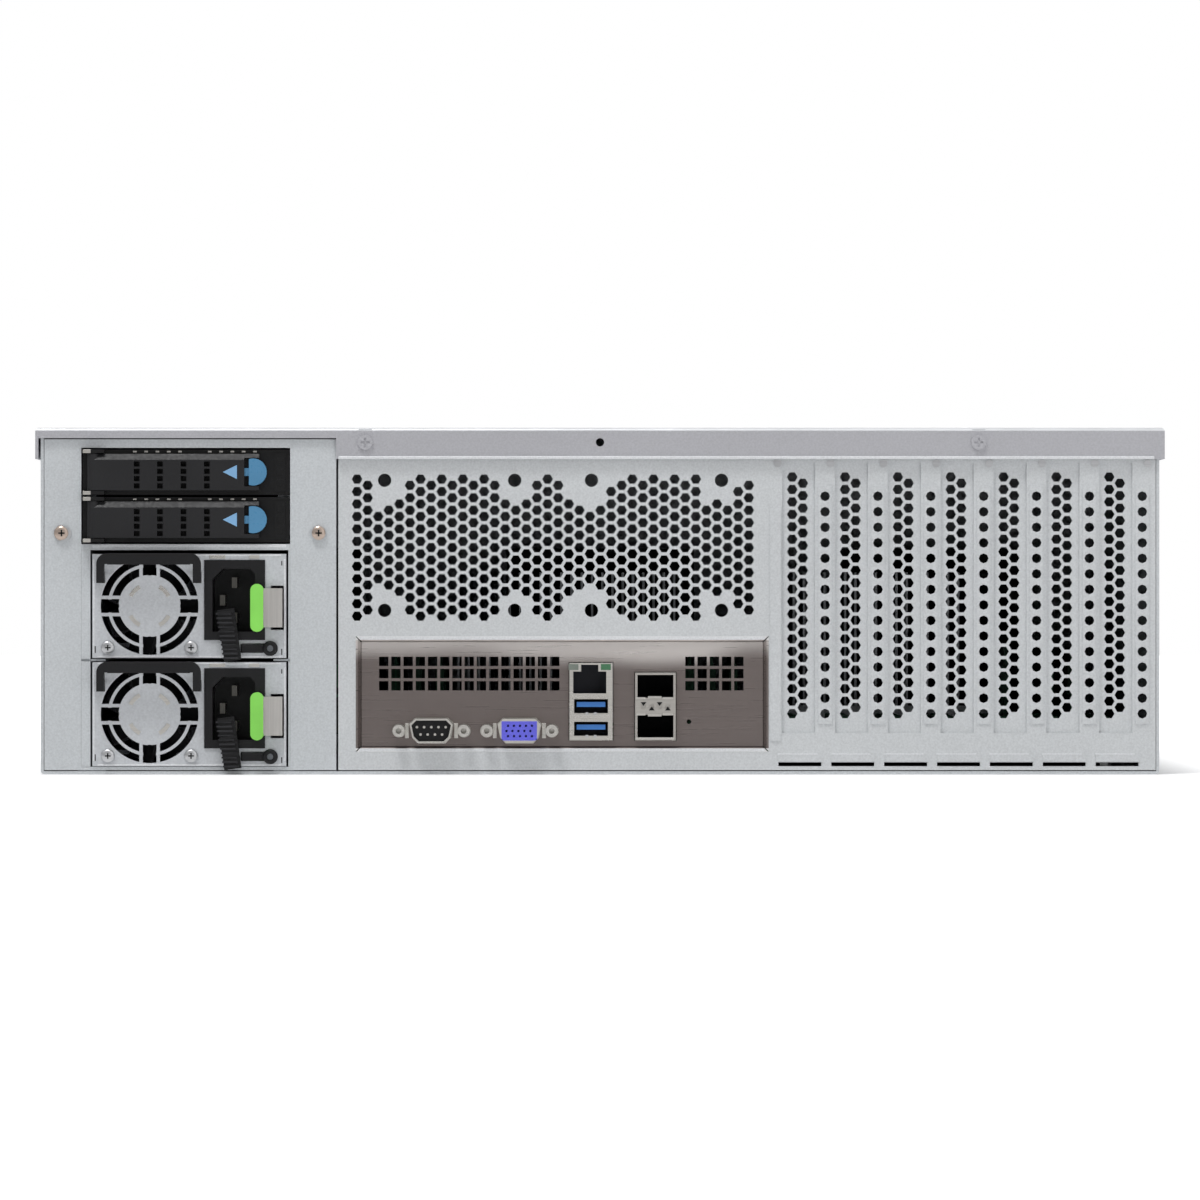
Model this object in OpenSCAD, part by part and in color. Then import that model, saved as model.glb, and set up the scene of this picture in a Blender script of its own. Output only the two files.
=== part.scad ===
// Rackmount server case, three rack units high, as seen from its rear.
// The origin is under the middle of the case, on the face that it rests on.
// +X is to the right as seen from the rear, +Y points to the front and +Z is up.

/* [Sheet metal] */
// Thickness of the case sheet
sheet = 1.2; // [1:0.1:1.4]
// Gap between pieces that slide past each other
slide_gap = 0.4; // [0.3:0.1:0.6]
// Gap between pieces that are set side by side
fit_gap = 0.2; // [0.1:0.05:0.3]
// Radial clearance of a pin in its hole
pin_clear = 0.05; // [0.03:0.01:0.08]
// Overrun of every cut
over = 1; // [0.5:0.5:2]
// Outer radius of the bends in the case sheet
bend_r = 1.5; // [1.3:0.1:2]
// Gap between plates that are joined at a seam
plate_gap = 0.05; // [0.05:0.01:0.1]

/* [Cover] */
// Height of the cover's side skirts and of its rear flange
skirt_h = 12; // [9:1:14]
// Height of the short flange over the drive plate
lip_h = 4; // [3:0.5:4.5]
// Gap between the side walls and the skirts
skirt_gap = 0.8; // [0.5:0.1:1.2]
// Radius of the locking hole in the rear flange
lock_r = 1.6; // [1:0.1:2.5]
// Width of the stiffening flange on top of each side wall
wall_flange_w = 8; // [5:1:12]

/* [Power modules] */
// Width of a power module
psu_w = 74.5; // [72:0.5:80]
// Height of a power module
psu_h = 40; // [39:0.5:44]
// Depth of a power module
psu_d = 185; // [150:5:220]
// Wall of a power module
psu_wall = 0.8; // [0.6:0.1:1]
// Gap between the lower and the upper power module
psu_gap = 1.6; // [1.4:0.1:2.5]
// Height of the lower module above the floor
psu_lift = 1.9; // [1.6:0.1:4]
// Room left of a power module
psu_left = 4.3; // [3:0.1:6]
// Room right of a power module
psu_right = 1.5; // [1.4:0.1:4]
// How far a power module's face stands out of the case
psu_out = 0.6; // [0.3:0.1:1.5]
// Length of the folding handle's arms
bail_arm = 9; // [7:0.5:11]
// How far the folding handle reaches out of the case
rear_reach = 9; // [8:0.5:12]

/* [Rear drive trays] */
// Distance between the two rear trays
tray_pitch = 18.3; // [18:0.1:21]
// Height of a tray's body
tray_h = 16.2; // [15:0.1:16.2]
// Depth of a tray
tray_d = 112; // [105:1:120]
// Height of a tray's lever
rear_lever_h = 14; // [12:0.5:14]
// Room right of a tray's lever
lever_room = 13.5; // [11.5:0.5:18]
// Thickness of a tray's lever
rear_lever_t = 4.6; // [4:0.2:5]
// Thickness of the shelf between trays and power modules
shelf_t = 2.3; // [2:0.1:3]
// Plate above the tray opening
plate_head = 3.3; // [2.5:0.1:5]

/* [Rear panel] */
// Plate left of the drive and power opening
plate_left = 14.4; // [12:0.2:20]
// Plate right of the drive and power opening
plate_right = 17.7; // [14:0.1:25]
// Seam between the two rear plates
seam = 0.8; // [0.4:0.1:1.5]
// Panel left of the connector shield
io_margin = 6.7; // [6:0.1:12]
// Width of the connector shield's opening
io_w = 158.75; // [155:0.25:170]
// Height of the connector shield's opening
io_h = 44.45; // [42:0.05:48]
// Depth of the connector shield's sloped rim
io_rim = 2; // [1.5:0.1:2.5]
// Panel between the connector shield and the first card slot
slot_lead = 5.15; // [4:0.05:12]
// Distance between card slots
slot_pitch = 20.32; // [19.5:0.02:22]
// Number of card slots
slot_count = 7; // [5:1:8]
// Visible width of a card slot
slot_w = 12.7; // [12:0.1:13.5]
// Panel right of the last slot's rib
slot_end = 1.56; // [1:0.02:5]
// Thickness of a slot cover
slot_cover_t = 0.9; // [0.7:0.1:1.1]

/* [Vents] */
// Corner radius of a six-sided vent hole
hex_r = 2.05; // [1.6:0.05:2.15]
// Distance between vent columns
vent_step = 4.07; // [4.07:0.01:4.2]
// Distance between vent holes in a column
vent_pitch = 4.79; // [4.7:0.01:5]
// Panel left of the first vent column's middle
vent_margin = 7.2; // [6:0.1:12]
// Hole spacing of the two spare fan places
aux_fan_span = 50; // [48:0.5:52]
// Radius of the spare fan places' holes
aux_fan_r = 2.55; // [1.8:0.05:2.8]
// Distance between the two spare fan places
aux_fan_pitch = 79.5; // [77:0.5:82]
// Middle of the first spare fan place from the panel's left edge
aux_fan_lead = 42.8; // [40:0.1:46]

/* [Main board] */
// Width of the main board
board_w = 304.8; // [290:0.2:312]
// Depth of the main board
board_d = 330.2; // [300:0.2:345]
// Thickness of the main board
board_t = 1.6; // [1.4:0.1:2.4]
// Height of the stand-offs under the main board
standoff_h = 7.6; // [5:0.1:10]
// Gap between the rear panel and the main board
board_gap = 4; // [3:0.1:6]
// Height of a processor cooler
cooler_h = 62; // [40:1:64]
// Width of a processor cooler
cooler_w = 90; // [70:1:92]
// Height of a memory module
memory_h = 31.2; // [28:0.2:34]
// Length of a memory module
memory_l = 133.4; // [120:0.1:136]

/* [Fans] */
// Width and height of a case fan
fan_w = 80; // [60:1:84]
// Depth of a case fan
fan_d = 38; // [25:1:40]
// Bore radius of a case fan
fan_bore_r = 38; // [34:0.5:38.5]
// Number of case fans
fan_count = 3; // [3:1:3]
// Depth of the fan wall
fan_wall_d = 46; // [44:1:60]
// Gap between the main board and the fan wall
fan_wall_gap = 24; // [5:1:40]
// Gap between the fan wall and the drive backplane
backplane_gap = 48.6; // [10:0.2:80]

/* [Front drive bays] */
// Columns of drive bays
bay_columns = 4; // [4:1:4]
// Rows of drive bays
bay_rows = 2; // [2:1:2]
// Depth of the drive cage
cage_d = 184; // [170:1:200]
// Height of a drive carrier
carrier_h = 26.4; // [25:0.1:30]
// Thickness of the shelves and partitions between drive bays
cage_t = 1.2; // [1:0.1:1.6]
// Thickness of a carrier's side rails
rail_t = 1.7; // [1.2:0.1:2]
// How far the carriers' faces stand out of the case
bezel_out = 2; // [1:0.1:4]
// Depth of a carrier's bezel
bezel_t = 14; // [12:0.5:18]
// Length of a carrier's lever
lever_l = 84; // [70:1:88]
// Height of a carrier's lever
lever_h = 18; // [14:0.5:19]
// Thickness of a carrier's lever
lever_t = 5; // [4:0.2:6]

/* [Rack ears] */
// Width of a rack ear's face outside the case
ear_w = 26.3; // [24:0.1:32]
// Thickness of a rack ear
ear_t = 2.4; // [2:0.1:3]
// Distance from a slot's middle to the ear's outer edge
ear_slot_edge = 8.75; // [8:0.05:10]
// Vertical distance between the ear's slots
ear_slot_pitch = 57.15; // [50:0.05:60]
// Half width of an ear's slot
ear_slot_r = 3.4; // [3:0.1:3.8]
// Length of an ear's slot, end to end
ear_slot_l = 10.4; // [8:0.1:11]
// How far the handles reach out of the ears
grip_reach = 36; // [30:1:50]
// Distance between a handle's two legs
grip_span = 76; // [60:1:90]
// Radius of a handle's bar
grip_r = 4; // [3:0.5:5]

/* [Hidden] */

// Widths of what stands side by side in the rear add up to the case's width
bay_w = psu_w + psu_left + psu_right;
slots_w = slot_count * slot_pitch;
inner_w = plate_left + bay_w + plate_right + seam + io_margin + io_w + slot_lead + slots_w + slot_end;
body_w = inner_w + 2 * sheet;
left_x = -body_w / 2;
right_x = body_w / 2;
in_x0 = left_x + sheet;
in_x1 = right_x - sheet;
bay_x0 = in_x0 + plate_left;
bay_x1 = bay_x0 + bay_w;
plate_x1 = bay_x1 + plate_right;
panel_x0 = plate_x1 + seam;
io_x0 = panel_x0 + io_margin;
io_x1 = io_x0 + io_w;
slot_x0 = io_x1 + slot_lead;

// Heights of what stands on the floor add up to the case's height
panel_z0 = sheet + 2 * fit_gap;
psu_z0 = sheet + psu_lift;
psu_pitch = psu_h + psu_gap;
shelf_gap = 1.5;
shelf_z0 = psu_z0 + psu_pitch + psu_h + shelf_gap;
bay_z0 = shelf_z0 + shelf_t;
tray_gap = tray_pitch - tray_h;
bay_z1 = bay_z0 + 2 * tray_pitch + slide_gap;
plate_z1 = bay_z1 + plate_head;
cover_z0 = plate_z1 + slide_gap - sheet + lip_h;
case_h = cover_z0 + sheet;
wall_z1 = cover_z0 - fit_gap;
flange_z0 = case_h - skirt_h;
board_z0 = sheet + standoff_h;
board_z1 = board_z0 + board_t;
io_drop = 1.8;
io_z0 = board_z1 - io_drop;
io_z1 = io_z0 + io_h;

// Depths of what stands one behind the other add up to the case's depth
backplane_t = 2;
cage_gap = 8;
bay_d = backplane_t + cage_gap + cage_d;
body_d = sheet + board_gap + board_d + fan_wall_gap + fan_wall_d + backplane_gap + bay_d;
back_y = (rear_reach - body_d - grip_reach) / 2;
front_y = back_y + body_d;
panel_y1 = back_y + sheet;
board_y0 = panel_y1 + board_gap;
board_y1 = board_y0 + board_d;
fan_wall_y0 = board_y1 + fan_wall_gap;
cage_y0 = front_y - cage_d;
backplane_y0 = cage_y0 - cage_gap - backplane_t;

// A box between two corners
module slab(x0, x1, y0, y1, z0, z1) {
    translate([x0, y0, z0]) cube([x1 - x0, y1 - y0, z1 - z0]);
}

// A rectangle between two corners
module area(x0, x1, y0, y1) {
    translate([x0, y0]) square([x1 - x0, y1 - y0]);
}

// A standing plate that faces the rear, drawn in X and Z
module upright(y0, y1) {
    translate([0, y1, 0]) rotate([90, 0, 0]) linear_extrude(y1 - y0) children();
}

// A standing plate that faces sideways, drawn in Y and Z
module sideways(x0, x1) {
    translate([x0, 0, 0]) rotate([90, 0, 90]) linear_extrude(x1 - x0) children();
}

// A round bar or bore along Y
module bar_y(x, z, y0, y1, r) {
    translate([x, y1, z]) rotate([90, 0, 0]) cylinder(h = y1 - y0, r = r);
}

// Two corners of a bent sheet: a rectangle whose left and right lower corners are round
module round_foot(x0, x1, z0, z1) {
    for (x = [x0 + bend_r, x1 - bend_r]) translate([x, z0 + bend_r]) circle(r = bend_r);
    area(x0 + bend_r, x1 - bend_r, z0, z1);
    area(x0, x1, z0 + bend_r, z1);
}

// A cross recess in a screw head of radius r
module cross_recess(r) {
    for (a = [0, 90]) rotate(a) square([r * 1.2, r * 0.28], center = true);
}

// A six-sided vent hole that points left and right
module hex_hole() {
    circle(r = hex_r, $fn = 6);
}

// Base tray: floor and side walls, bent from one sheet
rail_hole_r = 2.2;
rail_hole_z = case_h / 2;
rail_hole_ys = [back_y + body_d * 0.15, back_y + body_d * 0.75];

panel_t = 1.5;
flange_end_y = front_y - panel_t - fit_gap;

module base_tray() {
    color([0.76, 0.78, 0.79]) difference() {
        upright(back_y, front_y) difference() {
            round_foot(left_x, right_x, 0, wall_z1);
            area(in_x0, in_x1, sheet, wall_z1 - sheet);
            area(in_x0 + wall_flange_w, in_x1 - wall_flange_w, sheet, wall_z1 + over);
        }
        slab(in_x0, in_x1, back_y - over, panel_y1 + fit_gap, wall_z1 - sheet - over, wall_z1 + over);
        slab(in_x0, in_x1, flange_end_y, front_y + over, wall_z1 - sheet - over, wall_z1 + over);
        for (y = rail_hole_ys)
            translate([left_x - over, y, rail_hole_z]) rotate([0, 90, 0])
                cylinder(h = body_w + 2 * over, r = rail_hole_r);
    }
}

// Top cover: a lid with side skirts and a rear flange that hangs over the rear panel
cover_x1 = right_x + skirt_gap + sheet;
cover_y1 = front_y - ear_t - slide_gap;
flange_y1 = back_y - slide_gap;
flange_y0 = flange_y1 - sheet;
lock_z = case_h - skirt_h / 2 + slide_gap;
cover_screw_lead = 10.4;
cover_screw_span = 235.7;
cover_screw_x0 = panel_x0 + cover_screw_lead;
cover_screw_x1 = cover_screw_x0 + cover_screw_span;
cover_screw_r = 2.9;
cover_screw_h = 0.9;
cover_screw_stem_r = 1.2;
cover_notch_w = 5;
cover_notch_h = 1.1;
cover_notch_d = 0.4;

// The cover's outer shape, seen from the side
module cover_side_outline() {
    intersection() {
        area(flange_y0, cover_y1, flange_z0, case_h);
        union() {
            translate([flange_y0 + bend_r, case_h - bend_r]) circle(r = bend_r);
            area(flange_y0, cover_y1, flange_z0, case_h - bend_r);
            area(flange_y0 + bend_r, cover_y1, flange_z0, case_h);
        }
    }
}

module cover_sheet() {
    difference() {
        intersection() {
            sideways(-cover_x1, cover_x1) cover_side_outline();
            upright(flange_y0, cover_y1) translate([0, case_h + flange_z0]) mirror([0, 1])
                round_foot(-cover_x1, cover_x1, flange_z0, case_h);
        }
        slab(-cover_x1 + sheet, cover_x1 - sheet, flange_y1, cover_y1 + over, flange_z0 - over, cover_z0);
        slab(-cover_x1 + sheet, plate_x1, flange_y0 - over, flange_y1 + over, flange_z0 - over,
            case_h - lip_h);
        bar_y(0, lock_z, flange_y0 - over, flange_y1 + over, lock_r);
        for (x = [cover_screw_x0, cover_screw_x1]) {
            bar_y(x, lock_z, flange_y0 - over, flange_y1 + over, cover_screw_stem_r + pin_clear);
            slab(x - cover_notch_w / 2, x + cover_notch_w / 2, flange_y0 - over, flange_y0 + cover_notch_d,
                case_h - cover_notch_h, case_h + over);
        }
    }
}

// A captive screw of the cover, with a cross recess in its head
module cover_screw(x) {
    y0 = flange_y0 - pin_clear - cover_screw_h;
    difference() {
        union() {
            bar_y(x, lock_z, y0, flange_y0 - pin_clear, cover_screw_r);
            bar_y(x, lock_z, y0, flange_y1, cover_screw_stem_r);
        }
        upright(y0 - over, y0 + cover_screw_h / 2) translate([x, lock_z]) cross_recess(cover_screw_r);
    }
}

module top_cover() {
    color([0.72, 0.73, 0.75]) {
        cover_sheet();
        cover_screw(cover_screw_x0);
        cover_screw(cover_screw_x1);
    }
}

// Rear panel: vents, spare fan places, connector opening, card slots, ribs and louvres
slot_lift = 5.5;
slot_head = 1.5;
slot_z0 = board_z1 + slot_lift;
slot_z1 = flange_z0 - slot_head;
rib_gap = 1.2;
rib_hole_r = 1.9;
rib_hole_pitch = 5.97;
rib_hole_count = 15;
rib_w = slot_pitch - slot_w;
rib_drop = 2.7;
rib_mid_z = (slot_z0 + slot_z1) / 2 - rib_drop;
rib_band_h = 91.4;
rib_band_out = 0.5;
louvre_w = 16.5;
louvre_h = 1.5;
louvre_z0 = 3.1;
louvre_shift = 1.4;
louvre_hood_h = 2.7;
louvre_hood_z0 = 4.9;
edge_rib_w = 4.2;
edge_rib_h = 89.5;
edge_rib_rise = 4.3;
edge_rib_z0 = io_z0 + edge_rib_rise;
aux_fan_z = (io_z1 + flange_z0) / 2;
aux_fan_rise = 0.9;

// Holes in each vent column, fewest beside the spare fan places' screw holes
vent_counts = [12, 11, 6, 7, 8, 11, 12, 11, 12, 11, 12, 11, 12, 11, 8, 7, 8, 11, 12, 11, 8, 7, 6, 7,
    10, 11, 12, 11, 12, 11, 12, 11, 12, 7, 8, 7, 10, 11];

module vent_column(count) {
    for (j = [0 : count - 1]) translate([0, (j - (count - 1) / 2) * vent_pitch]) hex_hole();
}

module aux_fan_outline() {
    for (n = [0, 1])
        for (sx = [-1, 1])
            for (sz = [-1, 1])
                translate([panel_x0 + aux_fan_lead + n * aux_fan_pitch + sx * aux_fan_span / 2,
                    aux_fan_z + aux_fan_rise + sz * aux_fan_span / 2]) circle(r = aux_fan_r);
}

module rear_panel_outline() {
    difference() {
        area(panel_x0, in_x1 - fit_gap, panel_z0, wall_z1);
        area(io_x0, io_x1, io_z0, io_z1);
        for (n = [0 : slot_count - 1])
            area(slot_x0 + n * slot_pitch, slot_x0 + n * slot_pitch + slot_w, slot_z0, slot_z1);
        for (i = [0 : len(vent_counts) - 1])
            translate([panel_x0 + vent_margin + i * vent_step, aux_fan_z]) vent_column(vent_counts[i]);
        aux_fan_outline();
        translate([0, lock_z]) circle(r = lock_r);
        for (n = [0 : slot_count - 1])
            translate([slot_x0 + n * slot_pitch - louvre_shift, louvre_z0]) square([louvre_w, louvre_h]);
        rib_holes();
    }
}

module rib_holes() {
    for (n = [0 : slot_count - 1])
        for (j = [0 : rib_hole_count - 1])
            translate([slot_x0 + n * slot_pitch + slot_w + rib_w / 2,
                rib_mid_z + (j - (rib_hole_count - 1) / 2) * rib_hole_pitch])
                circle(r = rib_hole_r, $fn = 8);
}

module rib_band_outline() {
    for (n = [0 : slot_count - 1])
        translate([slot_x0 + n * slot_pitch - louvre_shift, louvre_hood_z0])
            square([louvre_w, louvre_hood_h]);
    translate([slot_x0 - (slot_lead + edge_rib_w) / 2, edge_rib_z0]) square([edge_rib_w, edge_rib_h]);
    difference() {
        for (n = [0 : slot_count - 1])
            translate([slot_x0 + n * slot_pitch + slot_w + rib_gap, rib_mid_z - rib_band_h / 2])
                square([rib_w - 2 * rib_gap, rib_band_h]);
        rib_holes();
    }
}

module rear_panel() {
    color([0.78, 0.8, 0.8]) union() {
        upright(back_y, panel_y1) rear_panel_outline();
        upright(back_y - rib_band_out, back_y) rib_band_outline();
    }
}

// Plate round the opening for the rear trays and the power modules
module psu_bay_plate() {
    color([0.8, 0.81, 0.82]) upright(back_y, panel_y1) difference() {
        area(in_x0 + fit_gap, plate_x1, panel_z0, plate_z1);
        area(bay_x0, bay_x1, psu_z0 - fit_gap, bay_z1);
    }
}

// Connector shield: a recessed plate with a sloped rim that is open at its corners
shield_t = 0.8;
rim_w = 2.2;
rim_gap = 0.25;
shield_y0 = back_y + io_rim;
shield_y1 = shield_y0 + shield_t;
port_gap = 0.3;
square_vent = 3.6;
square_vent_pitch = 4.7;
square_vent_rows = 3;
vent_row_rise = 25.4;
vent_row_z = io_z0 + vent_row_rise;
left_vents = 15;
left_vents_lead = 10.7;
left_vents_x = io_x0 + left_vents_lead;
right_vents = 5;
right_vents_lead = 128.5;
right_vents_x = io_x0 + right_vents_lead;
pin_hole_r = 0.9;
pin_hole_lead = 128.1;
pin_hole_rise = 11.6;
pin_hole_x = io_x0 + pin_hole_lead;
pin_hole_z = io_z0 + pin_hole_rise;

// Places of the connectors along the shield and above the board
serial_lead = 29.1;
vga_lead = 62.9;
lan_lead = 90.45;
sfp_lead = 115.2;
dsub_rise = 6.35;
serial_x = io_x0 + serial_lead;
vga_x = io_x0 + vga_lead;
lan_x = io_x0 + lan_lead;
sfp_x = io_x0 + sfp_lead;
dsub_z = board_z1 + dsub_rise;
jack_pitch = 24.99;
jack_r = 2.35;
jack_bore_r = 1.1;
dsub_w = 16.6;
dsub_h = 9.4;
dsub_corner = 2.2;
nose_lift = 2.8;
lan_w = 16.6;
lan_h = 32.4;
lan_d = 22;
sfp_w = 15.6;
sfp_h = 25.9;
sfp_d = 48;

module dsub_outline(w, h, c) {
    polygon([[-w / 2 + c, h / 2], [w / 2 - c, h / 2], [w / 2, h / 2 - c], [w / 2 - c / 2, -h / 2 + c],
        [w / 2 - c * 1.5, -h / 2], [-w / 2 + c * 1.5, -h / 2], [-w / 2 + c / 2, -h / 2 + c],
        [-w / 2, h / 2 - c]]);
}

module dsub_cutout(x) {
    translate([x, dsub_z]) dsub_outline(dsub_w + 2 * port_gap, dsub_h + 2 * port_gap, dsub_corner);
    for (s = [-1, 1]) translate([x + s * jack_pitch / 2, dsub_z]) circle(r = jack_r + port_gap);
}

module square_vents(x0, count) {
    for (i = [0 : count - 1])
        for (j = [0 : square_vent_rows - 1])
            translate([x0 + i * square_vent_pitch, vent_row_z + j * square_vent_pitch])
                square(square_vent, center = true);
}

module shield_outline() {
    difference() {
        area(io_x0 + rim_w, io_x1 - rim_w, io_z0 + rim_w, io_z1 - rim_w);
        dsub_cutout(serial_x);
        dsub_cutout(vga_x);
        area(lan_x - lan_w / 2 - port_gap, lan_x + lan_w / 2 + port_gap, board_z1 + nose_lift - port_gap,
            board_z1 + lan_h + port_gap);
        area(sfp_x - sfp_w / 2 - port_gap, sfp_x + sfp_w / 2 + port_gap, board_z1 + nose_lift - port_gap,
            board_z1 + nose_lift + sfp_h + port_gap);
        square_vents(left_vents_x, left_vents);
        square_vents(right_vents_x, right_vents);
        translate([pin_hole_x, pin_hole_z]) circle(r = pin_hole_r);
    }
}

// One side of the sloped rim, with its outer edge at zero and the plate towards +u
module rim_profile() {
    polygon([[0, back_y], [shield_t, back_y], [rim_w + fit_gap, shield_y1],
        [rim_w - shield_t + fit_gap, shield_y1]]);
}

// What a rim side of length l keeps: its corners are cut off at 45 degrees, with an open gap
module mitre(l) {
    upright(back_y, shield_y1)
        polygon([[rim_gap, 0], [l - rim_gap, 0], [l - rim_gap - rim_w - fit_gap, rim_w + fit_gap],
            [rim_gap + rim_w + fit_gap, rim_w + fit_gap]]);
}

module rim_side(l) {
    intersection() {
        translate([l, 0, 0]) rotate([0, -90, 0]) linear_extrude(l) rim_profile();
        mitre(l);
    }
}

module io_shield() {
    color([0.5, 0.46, 0.44]) union() {
        upright(shield_y0, shield_y1) shield_outline();
        translate([io_x0, 0, io_z0]) rim_side(io_w);
        translate([io_x1, 0, io_z1]) rotate([0, 180, 0]) rim_side(io_w);
        translate([io_x1, 0, io_z0]) rotate([0, -90, 0]) rim_side(io_h);
        translate([io_x0, 0, io_z1]) rotate([0, 90, 0]) rim_side(io_h);
    }
}

// Slot covers: seven plates behind the card slots, each with two columns of vent holes
slot_cover_side = 1.7;
slot_cover_foot = 5;
slot_cover_tail = 11;
cover_vents_shift = -0.4;
cover_vents_rise = 1;
cover_vents_left = 20;
cover_vents_right = 19;

module slot_cover(x) {
    y0 = panel_y1;
    z_top = wall_z1 - wall_flange_w;
    union() {
        upright(y0, y0 + slot_cover_t) difference() {
            area(x - slot_cover_side, x + slot_w + slot_cover_side, slot_z0 - slot_cover_foot, z_top);
            translate([x + slot_w / 2 + cover_vents_shift, (slot_z0 + slot_z1) / 2 + cover_vents_rise]) {
                translate([-vent_step / 2, 0]) vent_column(cover_vents_left);
                translate([vent_step / 2, 0]) vent_column(cover_vents_right);
            }
        }
        slab(x - slot_cover_side, x + slot_w + slot_cover_side, y0, y0 + slot_cover_tail,
            z_top - slot_cover_t, z_top);
    }
}

module slot_covers() {
    color([0.78, 0.79, 0.8]) for (n = [0 : slot_count - 1]) slot_cover(slot_x0 + n * slot_pitch);
}

// Screws and stand-offs: identical small fasteners of the case
screw_r = 2.9;
screw_h = 1.4;
bay_screw_z = shelf_z0 + 6.4;
bay_screw_x0 = in_x0 + 7.8;
bay_screw_x1 = plate_x1 - 6.7;
standoff_r = 3;
nub_r = 1.5;
nub_h = 0.5;
nub_z = flange_z0 - nub_r - fit_gap;
standoff_xs = [0.03, 0.5, 0.96];
standoff_ys = [0.04, 0.46, 0.96];

module rear_screw(x, z) {
    difference() {
        bar_y(x, z, back_y - screw_h, back_y, screw_r);
        upright(back_y - screw_h - over, back_y - screw_h / 2) translate([x, z]) cross_recess(screw_r);
    }
}

module chassis_screws() {
    color([0.7, 0.71, 0.73]) {
        rear_screw(bay_screw_x0, bay_screw_z);
        rear_screw(bay_screw_x1, bay_screw_z);
        for (n = [0 : slot_count])
            bar_y(slot_x0 + n * slot_pitch - slot_cover_side, nub_z, back_y - nub_h, back_y, nub_r);
        for (u = standoff_xs)
            for (v = standoff_ys)
                translate([board_x0 + u * board_w, board_y0 + v * board_d, sheet])
                    cylinder(h = standoff_h, r = standoff_r, $fn = 6);
    }
}

// Main board with its sockets, card connectors and chips
board_x0 = io_x0 - 4;
card_socket_w = 7.4;
card_socket_h = 11;
card_socket_l = 89;
card_socket_y0 = board_y0 + 50;
chip_w = 42;
chip_h = 6;
chip_y0 = board_y0 + 92;
chip_x0 = io_x0 + 68;
cpu_socket_w = 62;
cpu_socket_h = 6;
cooler_y1 = board_y1 - 22;
bank_w = 38;
cooler_x0 = board_x0 + bank_w + 1;
cooler_x1 = cooler_x0 + cooler_w + bank_w + 2;
memory_pitch = 9;
memory_banks = 3;
memory_per_bank = 4;
memory_t = 3.4;
memory_socket_w = 6.4;
memory_socket_h = 6;
memory_y1 = board_y1 - 12;
battery_r = 10;
battery_h = 4;
battery_x = io_x0 + 40;
battery_y = board_y0 + 60;

function memory_x(bank, i) = board_x0 + 5.5 + bank * (cooler_w + bank_w + 1) + i * memory_pitch;

module motherboard() {
    color([0.1, 0.28, 0.18]) {
        slab(board_x0, board_x0 + board_w, board_y0, board_y1, board_z0, board_z1);
        for (n = [0 : slot_count - 1])
            slab(slot_x0 + n * slot_pitch + fit_gap, slot_x0 + n * slot_pitch + fit_gap + card_socket_w,
                card_socket_y0, card_socket_y0 + card_socket_l, board_z1, board_z1 + card_socket_h);
        slab(chip_x0, chip_x0 + chip_w, chip_y0, chip_y0 + chip_w, board_z1, board_z1 + chip_h);
        for (x = [cooler_x0, cooler_x1])
            translate([x + cooler_w / 2, cooler_y1 - cooler_w / 2, board_z1 + cpu_socket_h / 2])
                cube([cpu_socket_w, cpu_socket_w, cpu_socket_h], center = true);
        for (b = [0 : memory_banks - 1])
            for (i = [0 : memory_per_bank - 1])
                slab(memory_x(b, i) - memory_socket_w / 2, memory_x(b, i) + memory_socket_w / 2,
                    memory_y1 - memory_l - memory_socket_w, memory_y1, board_z1, board_z1 + memory_socket_h);
        translate([battery_x, battery_y, board_z1]) cylinder(h = battery_h, r = battery_r);
    }
}

// Processor coolers: finned blocks in the air stream
fin_base = 7;
fin_t = 0.9;
fin_count = 22;

module cooler_outline() {
    step = (cooler_w - fin_t) / (fin_count - 1);
    square([cooler_w, fin_base]);
    for (i = [0 : fin_count - 1]) translate([i * step, 0]) square([fin_t, cooler_h]);
}

module cpu_coolers() {
    color([0.8, 0.81, 0.82])
        for (x = [cooler_x0, cooler_x1])
            upright(cooler_y1 - cooler_w, cooler_y1)
                translate([x, board_z1 + cpu_socket_h]) cooler_outline();
}

// Memory modules: boards that stand in their sockets
memory_board_t = 1.4;
memory_chip_l = 11;
memory_chip_h = 12;
memory_chip_z = 12;
memory_chips = 9;

module memory_module(x) {
    y0 = memory_y1 - memory_socket_w / 2 - memory_l;
    z0 = board_z1 + memory_socket_h;
    step = memory_l / memory_chips;
    union() {
        slab(x - memory_board_t / 2, x + memory_board_t / 2, y0, y0 + memory_l, z0, z0 + memory_h);
        for (i = [0 : memory_chips - 1])
            slab(x - memory_t / 2, x + memory_t / 2, y0 + i * step + fit_gap * 2,
                y0 + i * step + fit_gap * 2 + memory_chip_l, z0 + memory_chip_z,
                z0 + memory_chip_z + memory_chip_h);
    }
}

module memory_modules() {
    color([0.12, 0.35, 0.22])
        for (b = [0 : memory_banks - 1])
            for (i = [0 : memory_per_bank - 1]) memory_module(memory_x(b, i));
}

// Connectors with a sub-miniature shell: a body on the board, a shell, and two jack screws
dsub_body_w = 30.8;
dsub_body_h = 12.4;
dsub_body_d = 10;
dsub_wall = 0.7;
dsub_out = 5.4;
dsub_pin_r = 0.5;
dsub_pin_pitch = 2.76;
dsub_row = 1.42;
vga_pin_pitch = 2.29;
vga_row = 1.98;
vga_hole_r = 0.45;

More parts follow.
